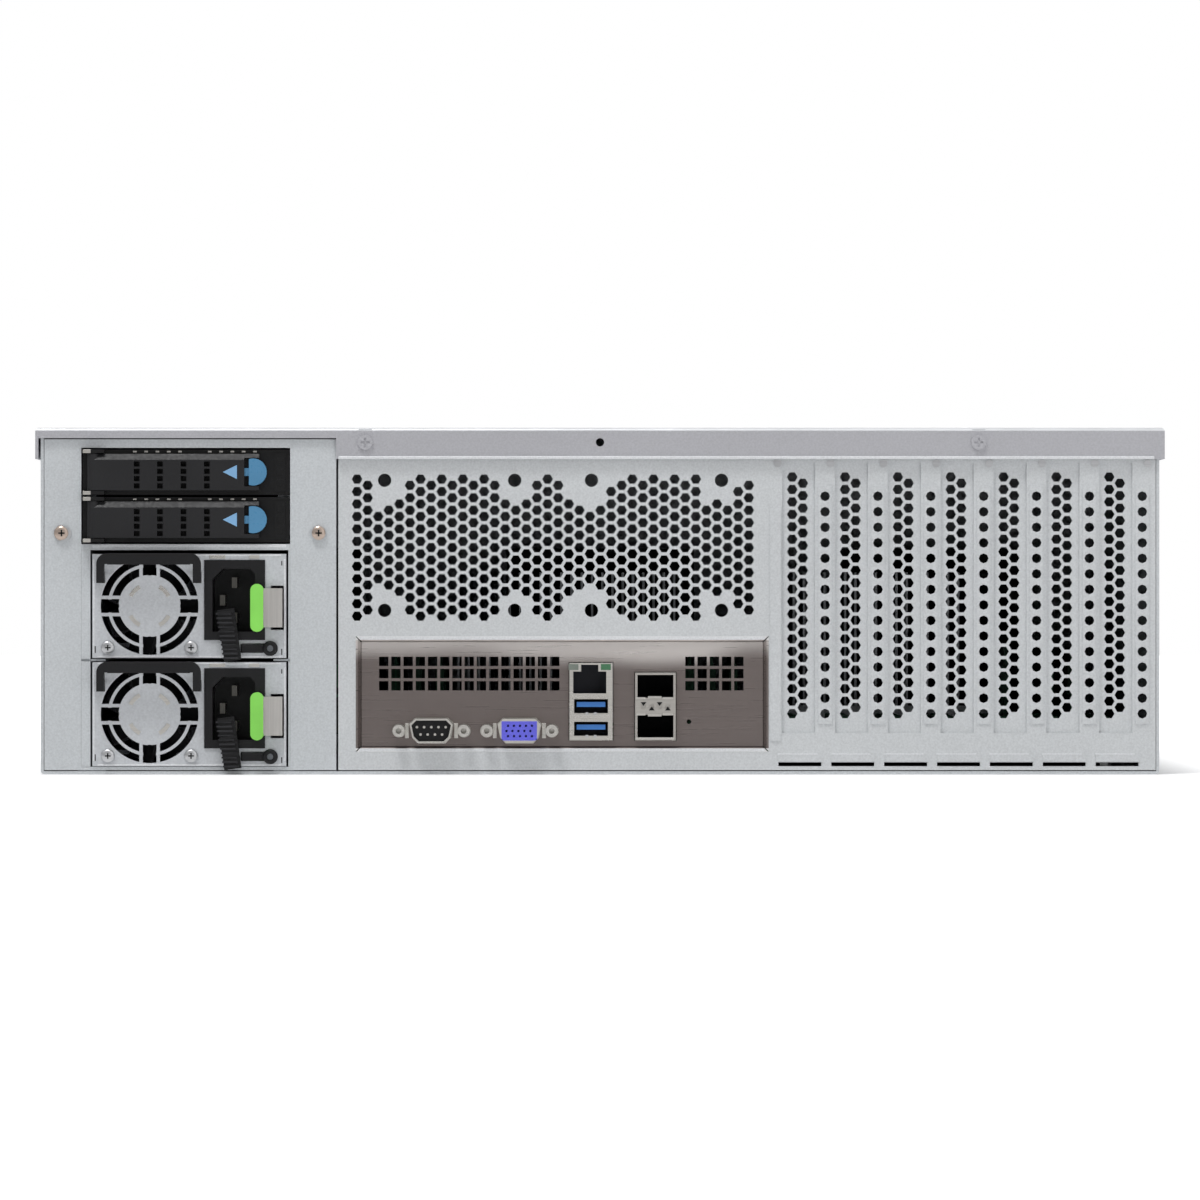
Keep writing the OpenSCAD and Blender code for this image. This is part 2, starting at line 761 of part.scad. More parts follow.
module dsub_body(x) {
    y0 = shield_y1 + fit_gap;
    slab(x - dsub_body_w / 2, x + dsub_body_w / 2, y0, y0 + dsub_body_d, board_z1, dsub_z + dsub_body_h / 2);
    for (s = [-1, 1])
        difference() {
            bar_y(x + s * jack_pitch / 2, dsub_z, back_y - dsub_out, y0, jack_r);
            bar_y(x + s * jack_pitch / 2, dsub_z, back_y - dsub_out - over, y0 - sheet, jack_bore_r);
        }
}

module serial_port() {
    y0 = shield_y1 + fit_gap;
    pin_y0 = back_y - dsub_out / 2;
    color([0.75, 0.74, 0.7]) union() {
        dsub_body(serial_x);
        upright(back_y - dsub_out, y0) translate([serial_x, dsub_z]) difference() {
            dsub_outline(dsub_w, dsub_h, dsub_corner);
            dsub_outline(dsub_w - 2 * dsub_wall, dsub_h - 2 * dsub_wall, dsub_corner - dsub_wall / 2);
        }
        for (i = [0 : 4])
            bar_y(serial_x + (i - 2) * dsub_pin_pitch, dsub_z + dsub_row, pin_y0, y0, dsub_pin_r);
        for (i = [0 : 3])
            bar_y(serial_x + (i - 1.5) * dsub_pin_pitch, dsub_z - dsub_row, pin_y0, y0, dsub_pin_r);
    }
}

module vga_port() {
    y0 = shield_y1 + fit_gap;
    color([0.35, 0.34, 0.85]) union() {
        dsub_body(vga_x);
        upright(back_y - dsub_out, y0) translate([vga_x, dsub_z]) difference() {
            dsub_outline(dsub_w, dsub_h, dsub_corner);
            for (r = [-1 : 1])
                for (i = [0 : 4])
                    translate([(i - 2 + r * r / 4 - 1 / 8) * vga_pin_pitch, r * vga_row])
                        circle(r = vga_hole_r);
        }
    }
}

// Network socket over two serial bus sockets, in one metal shell
stack_wall = 1;
jack_w = 12.7;
jack_shift = -0.5;
jack_h = 8.4;
jack_notch_w = 6.6;
jack_notch_h = 2.6;
jack_d = 14;
jack_z0 = board_z1 + 20.7;
usb_w = 13;
usb_h = 5.4;
usb_d = 15;
usb_z0 = board_z1 + 4.4;
usb_pitch = 8.7;
usb_tongue_w = 11;
usb_tongue_h = 1.9;
usb_tongue_rise = 2.4;
stack_y0 = back_y - 0.4;

// The part of a connector that stands on the board, and its nose through the shield
module nosed_body(x, w, d, h) {
    slab(x - w / 2, x + w / 2, shield_y1 + fit_gap, stack_y0 + d, board_z1, board_z1 + h);
    slab(x - w / 2, x + w / 2, stack_y0, shield_y1 + fit_gap + over, board_z1 + nose_lift, board_z1 + h);
}

module usb_socket(z) {
    difference() {
        slab(lan_x - usb_w / 2, lan_x + usb_w / 2, stack_y0 - over, stack_y0 + usb_d, z, z + usb_h);
        slab(lan_x - usb_tongue_w / 2, lan_x + usb_tongue_w / 2, stack_y0 + stack_wall, stack_y0 + usb_d,
            z + usb_tongue_rise, z + usb_tongue_rise + usb_tongue_h);
    }
}

module lan_usb_stack() {
    x = lan_x + jack_shift;
    color([0.74, 0.73, 0.7]) difference() {
        nosed_body(lan_x, lan_w, lan_d, lan_h);
        slab(x - jack_w / 2, x + jack_w / 2, stack_y0 - over, stack_y0 + jack_d, jack_z0, jack_z0 + jack_h);
        slab(x - jack_notch_w / 2, x + jack_notch_w / 2, stack_y0 - over, stack_y0 + jack_d,
            jack_z0 + jack_h - fit_gap, jack_z0 + jack_h + jack_notch_h);
        usb_socket(usb_z0);
        usb_socket(usb_z0 + usb_pitch);
    }
}

// Stacked optical module cage with a light strip between its two cavities
sfp_wall = 0.9;
sfp_cavity_h = 8.8;
sfp_cavity_d = 44;
sfp_z0 = board_z1 + nose_lift;
light_r = 1.1;

module sfp_cage() {
    color([0.66, 0.66, 0.64]) difference() {
        nosed_body(sfp_x, sfp_w, sfp_d, nose_lift + sfp_h);
        for (z = [sfp_z0 + sfp_wall, sfp_z0 + sfp_h - sfp_wall - sfp_cavity_h])
            slab(sfp_x - sfp_w / 2 + sfp_wall, sfp_x + sfp_w / 2 - sfp_wall, stack_y0 - over,
                stack_y0 + sfp_cavity_d, z, z + sfp_cavity_h);
        for (i = [0 : 3])
            bar_y(sfp_x + (i - 1.5) * sfp_w / 5, sfp_z0 + sfp_h / 2, stack_y0 - over, stack_y0 + sfp_wall,
                light_r);
    }
}

// Fan wall: a cage across the case that holds the fans, closed above them
fan_seat = 0.4;
fan_z0 = sheet + 8;
fan_pitch = inner_w / fan_count;
fan_wall_t = 1.5;

function fan_x(n) = in_x0 + (n + 0.5) * fan_pitch;

// Places of the partition plates beside fan n, and of the plates that close the gaps
function fan_side(n) = fan_x(n) - fan_w / 2 - fan_seat - fan_wall_t;
function blank_x0(n) = n == 0 ? in_x0 : fan_x(n - 1) + fan_w / 2 + fan_seat + fan_wall_t + plate_gap;
function blank_x1(n) = n == fan_count ? in_x1 : fan_side(n) - plate_gap;

module fan_wall() {
    y1 = fan_wall_y0 + fan_wall_d;
    z0 = fan_z0 + plate_gap;
    color([0.7, 0.71, 0.72]) {
        slab(in_x0, in_x1, fan_wall_y0, y1, fan_z0 - fan_wall_t, fan_z0);
        for (y = [fan_wall_y0, y1 - fan_wall_t])
            slab(in_x0, in_x1, y, y + fan_wall_t, sheet, fan_z0 - fan_wall_t - plate_gap);
        for (n = [0 : fan_count - 1])
            for (x = [fan_side(n), fan_x(n) + fan_w / 2 + fan_seat])
                slab(x, x + fan_wall_t, fan_wall_y0, y1, z0, fan_z0 + fan_w);
        for (n = [0 : fan_count])
            slab(blank_x0(n), blank_x1(n), y1 - fan_wall_t, y1, z0, fan_z0 + fan_w);
        slab(in_x0, in_x1, y1 - fan_wall_t, y1, fan_z0 + fan_w + plate_gap, wall_z1 - sheet - plate_gap);
    }
}

// Case fans: square frames with struts, and rotors that turn in them
fan_y0 = fan_wall_y0 + (fan_wall_d - fan_d) / 2;
fan_z = fan_z0 + fan_w / 2;
motor_r = 17;
motor_t = 4;
strut_w = 4;
rotor_gap = 1;
rotor_hub_r = 16;
blade_t = 1.6;
blade_count = 7;
blade_angle = 38;
shaft_r = 2;

module fan_frame(x) {
    difference() {
        union() {
            upright(fan_y0, fan_y0 + fan_d) translate([x, fan_z]) difference() {
                square(fan_w, center = true);
                circle(r = fan_bore_r);
            }
            upright(fan_y0, fan_y0 + motor_t) translate([x, fan_z]) {
                circle(r = motor_r);
                for (a = [45, 135]) rotate(a) square([2 * fan_bore_r + strut_w, strut_w], center = true);
            }
        }
        bar_y(x, fan_z, fan_y0 - over, fan_y0 + motor_t + over, shaft_r + pin_clear);
    }
}

module fan_frames() {
    color([0.12, 0.12, 0.13]) for (n = [0 : fan_count - 1]) fan_frame(fan_x(n));
}

module rotor(hub_r, tip_r, depth, count, shaft, shaft_l, t) {
    chord = depth / cos(blade_angle) - t;
    rotate([90, 0, 0]) union() {
        cylinder(h = depth, r = hub_r, center = true);
        translate([0, 0, depth / 2 - t]) cylinder(h = t + shaft_l, r = shaft);
        for (i = [0 : count - 1])
            rotate([0, 0, i * 360 / count]) translate([(hub_r - t + tip_r) / 2, 0, 0])
                rotate([90 - blade_angle, 0, 0])
                    cube([tip_r - hub_r + t, chord * 0.8, t], center = true);
    }
}

module fan_rotor(n) {
    depth = fan_d - motor_t - 2 * rotor_gap;
    color([0.15, 0.15, 0.16])
        translate([fan_x(n), fan_y0 + motor_t + rotor_gap + depth / 2, fan_z])
            rotor(rotor_hub_r, fan_bore_r - 2 * rotor_gap, depth, blade_count, shaft_r,
                rotor_gap + motor_t, blade_t);
}

// Front drive bays: cells between the side walls, each with a carrier
cell_w = (inner_w - (bay_columns - 1) * cage_t) / bay_columns;
row_pitch = carrier_h + 2 * slide_gap + cage_t;
row_z0 = sheet + fit_gap;
cage_z1 = row_z0 + bay_rows * row_pitch;
carrier_w = cell_w - 2 * slide_gap;
carrier_d = cage_d - fit_gap;

function cell_x(c) = in_x0 + c * (cell_w + cage_t);
function cell_z(r) = row_z0 + r * row_pitch;

module front_bay_cage() {
    color([0.72, 0.73, 0.74]) {
        for (c = [1 : bay_columns - 1])
            slab(cell_x(c) - cage_t, cell_x(c), cage_y0, front_y, sheet, cage_z1 - cage_t - plate_gap);
        for (r = [0 : bay_rows - 2])
            for (c = [0 : bay_columns - 1])
                slab(cell_x(c) + plate_gap, cell_x(c) + cell_w - plate_gap, cage_y0, front_y,
                    cell_z(r + 1) - cage_t, cell_z(r + 1));
        slab(in_x0, in_x1, cage_y0, front_y, cage_z1 - cage_t, cage_z1);
    }
}

// Backplanes: the front drives' board, the rear trays' board and the power board
plug_w = 40;
plug_h = 7;
plug_d = cage_gap - slide_gap;
rear_plug_w = 30;
rear_board_y0 = panel_y1 + tray_d + cage_gap;
power_board_y0 = back_y - psu_out + psu_d + cage_gap;
power_plug_z0 = 1;

module backplanes() {
    color([0.1, 0.3, 0.2]) {
        slab(in_x0, in_x1, backplane_y0, backplane_y0 + backplane_t, sheet, cage_z1);
        for (r = [0 : bay_rows - 1])
            for (c = [0 : bay_columns - 1])
                translate([cell_x(c) + (cell_w - plug_w) / 2, backplane_y0 + backplane_t,
                    cell_z(r) + carrier_h / 4])
                    cube([plug_w, plug_d, plug_h]);
        slab(bay_x0, bay_x1, rear_board_y0, rear_board_y0 + backplane_t, bay_z0, bay_z1);
        for (i = [0, 1])
            translate([(bay_x0 + bay_x1 - rear_plug_w) / 2, rear_board_y0 - plug_d,
                bay_z0 + tray_gap + i * tray_pitch + tray_floor]) cube([rear_plug_w, plug_d, plug_h]);
        slab(bay_x0, bay_x1, power_board_y0, power_board_y0 + backplane_t, sheet, shelf_z0);
        for (i = [0, 1]) translate([psu_x0, psu_y0 + psu_d, psu_z0 + i * psu_pitch]) power_plug();
    }
}

// A plug on the power board, with the slot that a power module's board enters
module power_plug() {
    wall = finger_z0 - power_plug_z0;
    difference() {
        slab(finger_x0 - wall, finger_x0 + finger_w + wall, cage_gap - plug_d, cage_gap, power_plug_z0,
            finger_z0 + finger_t + wall);
        slab(finger_x0 - finger_gap, finger_x0 + finger_w + finger_gap, 0, finger_l + finger_gap,
            finger_z0 - finger_gap, finger_z0 + finger_t + finger_gap);
    }
}

// A carrier's parts, with its left lower rear corner at the origin
pocket_gap = 0.5;
lever_x0 = 8;
lever_pin_r = 1.5;
lever_pin_l = 2;
pocket_h = lever_h + 2 * pocket_gap;
pocket_z0 = (carrier_h - pocket_h) / 2;
pocket_d = lever_t + pocket_gap;
drive_l = 147;
drive_h = 25;
drive_gap = 0.1;
rail_lip_w = 3;
rail_lip_t = 1;
bezel_vents = 7;
bezel_vent_w = 7;
bezel_vent_pitch = 10;
bezel_vent_h = 8;
light_w = 3;

// Place in the cage of carrier n, counted along the lower row first
module in_cell(n) {
    translate([cell_x(n % bay_columns) + slide_gap, cage_y0 + fit_gap,
        cell_z(floor(n / bay_columns)) + slide_gap]) children();
}

module carrier_frame() {
    y1 = carrier_d + bezel_out;
    y0 = y1 - bezel_t;
    pivot_y = y1 - lever_t / 2;
    difference() {
        union() {
            slab(0, carrier_w, y0, y1, 0, carrier_h);
            slab(0, rail_t, 0, y0, 0, drive_h);
            slab(carrier_w - rail_t, carrier_w, 0, y0, 0, drive_h);
            slab(0, rail_t + rail_lip_w, 0, y0, 0, rail_lip_t);
            slab(carrier_w - rail_t - rail_lip_w, carrier_w, 0, y0, 0, rail_lip_t);
        }
        slab(lever_x0 - lever_t / 2 - pocket_gap, lever_x0 + lever_l + pocket_gap, y1 - pocket_d, y1 + over,
            pocket_z0, pocket_z0 + pocket_h);
        for (i = [0 : bezel_vents - 1])
            translate([lever_x0 + bezel_vent_pitch * (i + 1), y0 - over, carrier_h / 2 - bezel_vent_h / 2])
                cube([bezel_vent_w, bezel_t + over, bezel_vent_h]);
        translate([lever_x0, pivot_y, pocket_z0 - lever_pin_l])
            cylinder(h = pocket_h + 2 * lever_pin_l, r = lever_pin_r + pin_clear);
        for (s = [-1, 1])
            bar_y(carrier_w - light_w, carrier_h / 2 + s * light_w, y1 - light_w, y1 + over, light_w / 3);
    }
}

module carrier_drive() {
    slab(rail_t + drive_gap, carrier_w - rail_t - drive_gap, 0, drive_l, rail_lip_t + drive_gap,
        rail_lip_t + drive_gap + drive_h);
}

module drive_carrier(n) {
    color([0.16, 0.16, 0.17]) in_cell(n) {
        carrier_frame();
        carrier_drive();
    }
}

module carrier_lever(n) {
    y1 = carrier_d + bezel_out;
    grip_w = 12;
    color([0.2, 0.2, 0.21]) in_cell(n) translate([lever_x0, y1 - lever_t / 2, pocket_z0 + pocket_gap]) {
        difference() {
            union() {
                slab(0, lever_l, -lever_t / 2, lever_t / 2, 0, lever_h);
                cylinder(h = lever_h, r = lever_t / 2);
                translate([0, 0, -lever_pin_l]) cylinder(h = lever_h + 2 * lever_pin_l, r = lever_pin_r);
            }
            for (i = [0 : bezel_vents - 2])
                for (j = [-1 : 1])
                    translate([bezel_vent_pitch * (i + 1), lever_t, lever_h / 2 + j * lever_h / 4])
                        rotate([90, 0, 0]) cylinder(h = 2 * lever_t, r = hex_r, $fn = 6);
            slab(lever_l - grip_w, lever_l - grip_w / 2, 0, lever_t, lever_h / 4, lever_h * 3 / 4);
        }
    }
}

// Rear bay cage: two walls, the shelf, a top plate and the ledges that the modules run on
bay_cage_y1 = power_board_y0 - fit_gap;
ledge_w = 5;
tray_ledge_t = 1.1;
guide_gap = 0.8;

// The two ledges under a power module, and the guides beside it
module psu_ledges(z0, z1, guide_z1) {
    for (s = [[bay_x0 + plate_gap, psu_x0 + ledge_w], [psu_x1 - ledge_w, bay_x1 - plate_gap]])
        slab(s[0], s[1], panel_y1 + fit_gap, bay_cage_y1, z0, z1);
    for (s = [[bay_x0 + plate_gap, psu_x0 - guide_gap], [psu_x1 + guide_gap, bay_x1 - plate_gap]])
        slab(s[0], s[1], back_y, bay_cage_y1, z1 + plate_gap, guide_z1 - plate_gap);
}

module rear_bay_cage() {
    tray_z = bay_z0 + tray_gap / 2 + tray_h + (tray_gap - tray_ledge_t) / 2;
    tray_ledge_y0 = back_y + tray_face + tray_bezel_t + slide_gap;
    color([0.75, 0.76, 0.77]) {
        for (x = [bay_x0 - sheet, bay_x1])
            slab(x, x + sheet, panel_y1, bay_cage_y1, sheet, bay_z1 - plate_gap);
        slab(bay_x0 + plate_gap, bay_x1 - plate_gap, back_y, bay_cage_y1, shelf_z0, shelf_z0 + shelf_t);
        slab(bay_x0 - sheet, bay_x1 + sheet, panel_y1, rear_board_y0 - fit_gap, bay_z1, bay_z1 + sheet);
        psu_ledges(sheet, psu_z0 - slide_gap, psu_z0 + psu_h + slide_gap);
        psu_ledges(psu_z0 + psu_h + slide_gap, psu_z0 + psu_pitch - slide_gap, shelf_z0);
        for (x = [bay_x0 + plate_gap, bay_x1 - plate_gap - ledge_w])
            slab(x, x + ledge_w, tray_ledge_y0, rear_board_y0 - fit_gap, tray_z, tray_z + tray_ledge_t);
    }
}

// Rear tray: bezel with a light strip, rails and the small drive that it carries
tray_w = bay_w - 2 * slide_gap;
tray_bezel_t = 6;
tray_bezel_h = 17.4;
tray_face = 1;
tray_lip = 1.3;
small_drive_side = 4.85;
small_drive_w = tray_w - 2 * small_drive_side;
small_drive_h = 9.5;
small_drive_l = 100.4;
tray_floor = 1.2;
rear_pin_r = 1.1;
rear_pin_l = 1.4;
rear_lever_x0 = 2;
rear_lever_l = tray_w - lever_room;
rear_pivot_x = rear_lever_x0 + rear_lever_t / 2;
rear_pivot_y = tray_face - rear_lever_t / 2;
strip_w = 4.2;
strip_x1 = 1.5;
catch_w = 6.8;
catch_h = 10.4;
catch_t = 3.4;
catch_travel = 1.5;
catch_gap = 0.3;
catch_in = 3.8;
catch_x0 = rear_lever_x0 + rear_lever_l - catch_in;
tongue_l = 5;
tongue_h = 3;
tongue_t = 1.6;
tongue_y = 0.9;

// Place of rear tray n: left lower corner of its bezel, on the panel's outer face
module in_tray(n) {
    z0 = bay_z0 + slide_gap / 2 + (tray_pitch - tray_bezel_h) / 2;
    translate([bay_x0 + slide_gap, back_y, z0 + n * tray_pitch]) children();
}

module rear_tray_frame() {
    y0 = tray_face;
    y1 = y0 + tray_bezel_t;
    lever_z0 = (tray_bezel_h - rear_lever_h) / 2;
    body_z0 = (tray_bezel_h - tray_h) / 2;
    block_h = lever_z0 - catch_gap;
    difference() {
        union() {
            slab(0, tray_w, y0 + slide_gap, y1, 0, tray_bezel_h);
            for (z = [0, tray_bezel_h - block_h])
                slab(0, 2 * rear_pivot_x, rear_pivot_y - rear_lever_t / 2, y1, z, z + block_h);
            slab(tray_w - strip_x1 - strip_w, tray_w - strip_x1, y0, y1, tray_lip, tray_bezel_h - tray_lip);
            slab(0, tray_w, y1, sheet + tray_d, body_z0, body_z0 + tray_floor);
            for (x = [0, tray_w - rail_t])
                slab(x, x + rail_t, y1, sheet + tray_d, body_z0, body_z0 + tray_h);
        }
        translate([rear_pivot_x, rear_pivot_y, -over])
            cylinder(h = tray_bezel_h + 2 * over, r = rear_pin_r + pin_clear);
    }
}

module rear_tray(n) {
    drive_z0 = (tray_bezel_h - tray_h) / 2 + tray_floor + drive_gap;
    color([0.13, 0.13, 0.14]) in_tray(n) {
        rear_tray_frame();
        slab((tray_w - small_drive_w) / 2, (tray_w + small_drive_w) / 2, sheet + tray_d - small_drive_l,
            sheet + tray_d, drive_z0, drive_z0 + small_drive_h);
    }
}

// Rear lever: bevelled along its top, with four columns of holes and a notch for its catch
rear_slot_w = 2.2;
rear_slot_h = 2;
rear_slot_rows = 4;
rear_slot_pitch = 2.8;
rear_slot_xs = [0.255, 0.39, 0.527, 0.663];
rear_bevel = 2.3;
rear_bevel_d = 1.6;

module rear_lever(n) {
    z0 = (tray_bezel_h - rear_lever_h) / 2;
    half = rear_lever_t / 2;
    notch_x0 = catch_x0 - rear_pivot_x - catch_travel - catch_gap;
    mid_z = rear_lever_h / 2;
    tongue_z = tongue_h / 2 + catch_gap;
    color([0.17, 0.17, 0.18]) in_tray(n) translate([rear_pivot_x, rear_pivot_y, z0]) difference() {
        union() {
            sideways(0, rear_lever_l - half)
                polygon([[half, 0], [-half, 0], [-half, rear_lever_h - rear_bevel],
                    [-half + rear_bevel_d, rear_lever_h], [half, rear_lever_h]]);
            cylinder(h = rear_lever_h, r = half);
            translate([0, 0, -rear_pin_l]) cylinder(h = rear_lever_h + 2 * rear_pin_l, r = rear_pin_r);
        }
        for (u = rear_slot_xs)
            for (j = [0 : rear_slot_rows - 1])
                translate([u * rear_lever_l, 0,
                    rear_lever_h * 0.42 + (j - (rear_slot_rows - 1) / 2) * rear_slot_pitch])
                    cube([rear_slot_w, rear_lever_t + over, rear_slot_h], center = true);
        slab(notch_x0, rear_lever_l, -half - over, -half + catch_t + catch_gap,
            mid_z - catch_h / 2 - catch_gap, mid_z + catch_h / 2 + catch_gap);
        slab(notch_x0 - tongue_l, rear_lever_l, -half + tongue_y - catch_gap,
            -half + tongue_y + tongue_t + catch_gap, mid_z - tongue_z, mid_z + tongue_z);
    }
}

// Rear catch: a half oval at the lever's free end, pushed along the lever to let it go
module rear_catch(n) {
    y0 = rear_pivot_y - rear_lever_t / 2;
    color([0.36, 0.58, 0.73]) in_tray(n) translate([catch_x0, 0, tray_bezel_h / 2]) union() {
        upright(y0, y0 + catch_t) intersection() {
            translate([catch_w - catch_h / 2, 0]) circle(r = catch_h / 2);
            area(0, catch_w, -catch_h / 2, catch_h / 2);
        }
        slab(-tongue_l, catch_h / 4, y0 + tongue_y, y0 + tongue_y + tongue_t, -tongue_h / 2, tongue_h / 2);
    }
}

// Power module: sheet case with a guarded fan, an inlet opening and a latch window
psu_x0 = bay_x0 + psu_left;
psu_x1 = psu_x0 + psu_w;
psu_y0 = back_y - psu_out;
psu_face_t = 1.2;
guard_x = psu_w * 0.2953;
guard_edge = 3.2;
guard_r = guard_x - guard_edge;
guard_screws = guard_r * 1.702;
guard_hub_r = guard_r * 0.633;
guard_ring_r0 = guard_r * 0.793;
guard_ring_r1 = guard_r * 0.857;
guard_spoke_w = 1.3;
guard_spoke_x = guard_r * 0.176;
notch_r = guard_r * 0.133;
notch_in = guard_r * 0.755;
bail_edge = 2;
bail_w = 2 * (guard_x - bail_edge);
guard_screw_r = 2.4;
guard_screw_h = 0.6;
inlet_x0 = psu_w * 0.577;
inlet_w = psu_w * 0.314;
inlet_h = 30.8;
inlet_z0 = 6.9;
window_side = 5.9;
window_x0 = psu_w - window_side;
window_z0 = 10.8;
window_h = 17;
led_r = 2.7;
led_side = 6.1;
led_x = psu_w - led_side;
led_z = 3.7;
led_h = 0.8;
led_bore = 1.2;
bail_r = 1.1;
bail_pivot_z = psu_h - bail_arm;
bail_pivot_out = 3;
ear_plate_t = 0.8;
vent_slot_w = 3;
vent_slot_l = 26;
finger_x0 = psu_w * 0.268;
finger_w = psu_w * 0.456;
finger_l = 6;
finger_z0 = 4;
finger_t = 1.6;
finger_gap = 0.3;
latch_gap = 0.6;
latch_arm = 28;
latch_bore_r = 1;
latch_r = 2.2;
latch_x1 = psu_w - psu_wall - latch_gap;
inner_y0 = latch_arm + 2 * latch_r;
sink_w = psu_w * 0.08;
sink_h = 27;
coil_w = psu_w * 0.268;
coil_l = 35;
coil_h = 24;
can_r = psu_w * 0.12;
can_h = 25;

module in_psu(n) {
    translate([psu_x0, psu_y0, psu_z0 + n * psu_pitch]) children();
}

module guard_outline() {
    difference() {
        circle(r = guard_r);
        circle(r = guard_hub_r);
        difference() {
            circle(r = guard_ring_r1);
            circle(r = guard_ring_r0);
        }
        for (a = [0, 90, 180, 270])
            for (s = [-1, 1])
                rotate(a) translate([guard_spoke_x * s - guard_spoke_w / 2, guard_hub_r - guard_spoke_w])
                    square([guard_spoke_w, guard_r - guard_hub_r + 2 * guard_spoke_w]);
    }
    for (a = [0, 90, 180, 270])
        rotate(a) {
            translate([0, notch_in]) circle(r = notch_r);
            translate([-notch_r, notch_in]) square([2 * notch_r, guard_r - notch_in - fit_gap]);
        }
}

module psu_face_outline() {
    difference() {
        area(0, psu_w, 0, psu_h);
        translate([guard_x, psu_h / 2]) guard_outline();
        area(inlet_x0, inlet_x0 + inlet_w, inlet_z0, inlet_z0 + inlet_h);
        area(window_x0, psu_w - psu_wall, window_z0, window_z0 + window_h);
    }
}

// The ears that the folding handle turns in, one at each end of it
module bail_ears() {
    for (x = [guard_x - bail_w / 2 - ear_plate_t - fit_gap, guard_x + bail_w / 2 + fit_gap])
        slab(x, x + ear_plate_t, -bail_pivot_out - 2 * bail_r, 0, bail_pivot_z - 2 * bail_r,
            bail_pivot_z + 2 * bail_r);
}

// The module's circuit board, whose inner end plugs into the power board
module psu_board() {
    y1 = psu_d - psu_wall - drive_gap;
    z1 = finger_z0 + finger_t;
    union() {
        slab(psu_wall + drive_gap, psu_w - psu_wall - drive_gap, inner_y0, y1, finger_z0, z1);
        slab(finger_x0, finger_x0 + finger_w, y1 - over, psu_d + finger_l, finger_z0, z1);
        for (x = [psu_w * 0.16, psu_w * 0.74])
            slab(x, x + sink_w, inner_y0 + coil_w, y1 - coil_w, z1, z1 + sink_h);
        slab(psu_w / 2 - coil_w / 2, psu_w / 2 + coil_w / 2, psu_d / 2 - coil_l / 2, psu_d / 2 + coil_l / 2,
            z1, z1 + coil_h);
        for (y = [psu_d * 0.3, psu_d * 0.75]) translate([psu_w / 2, y, z1]) cylinder(h = can_h, r = can_r);
    }
}

module psu_module(n) {
    color([0.76, 0.77, 0.78]) in_psu(n) {
        psu_shell();
        psu_board();
    }
}

module psu_shell() {
    socket_l = shaft_r;
    difference() {
        union() {
            upright(0, psu_face_t) psu_face_outline();
            slab(0, psu_w, psu_face_t, psu_d, 0, psu_wall);
            slab(0, psu_w, psu_face_t, psu_d, psu_h - psu_wall, psu_h);
            slab(0, psu_wall, psu_face_t, psu_d, psu_wall, psu_h - psu_wall);
            slab(psu_w - psu_wall, psu_w, psu_face_t, psu_d, psu_wall, psu_h - psu_wall);
            upright(psu_d - psu_wall, psu_d) difference() {
                area(0, psu_w, 0, psu_h);
                area(finger_x0 - finger_gap, finger_x0 + finger_w + finger_gap, finger_z0 - finger_gap,
                    finger_z0 + finger_t + finger_gap);
                for (i = [0 : 5])
                    translate([psu_h / 4 + i * 3 * vent_slot_w, (psu_h - vent_slot_l) / 2])
                        square([vent_slot_w, vent_slot_l]);
            }
            translate([latch_x1 - latch_r, latch_arm, psu_wall / 2])
                cylinder(h = psu_h - psu_wall, r = latch_bore_r);
            bail_ears();
            bar_y(guard_x, psu_h / 2, psu_face_t, psu_face_t + socket_l, 2 * shaft_r);
            for (sx = [-1, 1])
                for (sz = [-1, 1])
                    bar_y(guard_x + sx * guard_screws / 2, psu_h / 2 + sz * guard_screws / 2,
                        -guard_screw_h, 0, guard_screw_r);
            bar_y(led_x, led_z, -led_h, 0, led_r);
        }
        translate([-over, -bail_pivot_out, bail_pivot_z]) rotate([0, 90, 0])
            cylinder(h = guard_x + bail_w, r = bail_r + pin_clear);
        bar_y(guard_x, psu_h / 2, psu_face_t, psu_face_t + socket_l + over, shaft_r / 2 + pin_clear);
        bar_y(led_x, led_z, -led_h - over, -led_h / 2, led_bore);
    }
}

// Rotor of the power module's fan, right behind the guard
psu_rotor_d = 16;
psu_rotor_gap = 0.6;
psu_hub_r = guard_r * 0.559;

module psu_rotor(n) {
    y0 = psu_face_t + shaft_r + psu_rotor_gap;
    color([0.14, 0.14, 0.15]) in_psu(n) translate([guard_x, y0 + psu_rotor_d / 2, psu_h / 2])
        rotor(psu_hub_r, guard_r - psu_wall, psu_rotor_d, blade_count, shaft_r / 2,
            shaft_r + psu_rotor_gap - fit_gap, psu_face_t);
}

// Power inlet block with its three pins, and the ribbed strap that holds a plug in it
inlet_out = 0.6;
inlet_d = 22;
socket_w = inlet_w * 0.7;
socket_h = 24.2;
socket_d = 17;
socket_x0 = inlet_w * 0.137;
socket_z0 = 3.2;
socket_corner = 4;
pin_w = 2;
pin_h = 4;
pin_l = 12;
strap_w = 6.6;
strap_t = 1.6;
strap_l = 20;
strap_rib = 0.6;
strap_ribs = 9;
strap_tilt = 8;
strap_x = inlet_w * 0.479;
strap_z0 = -1;
strap_out = 2.6;

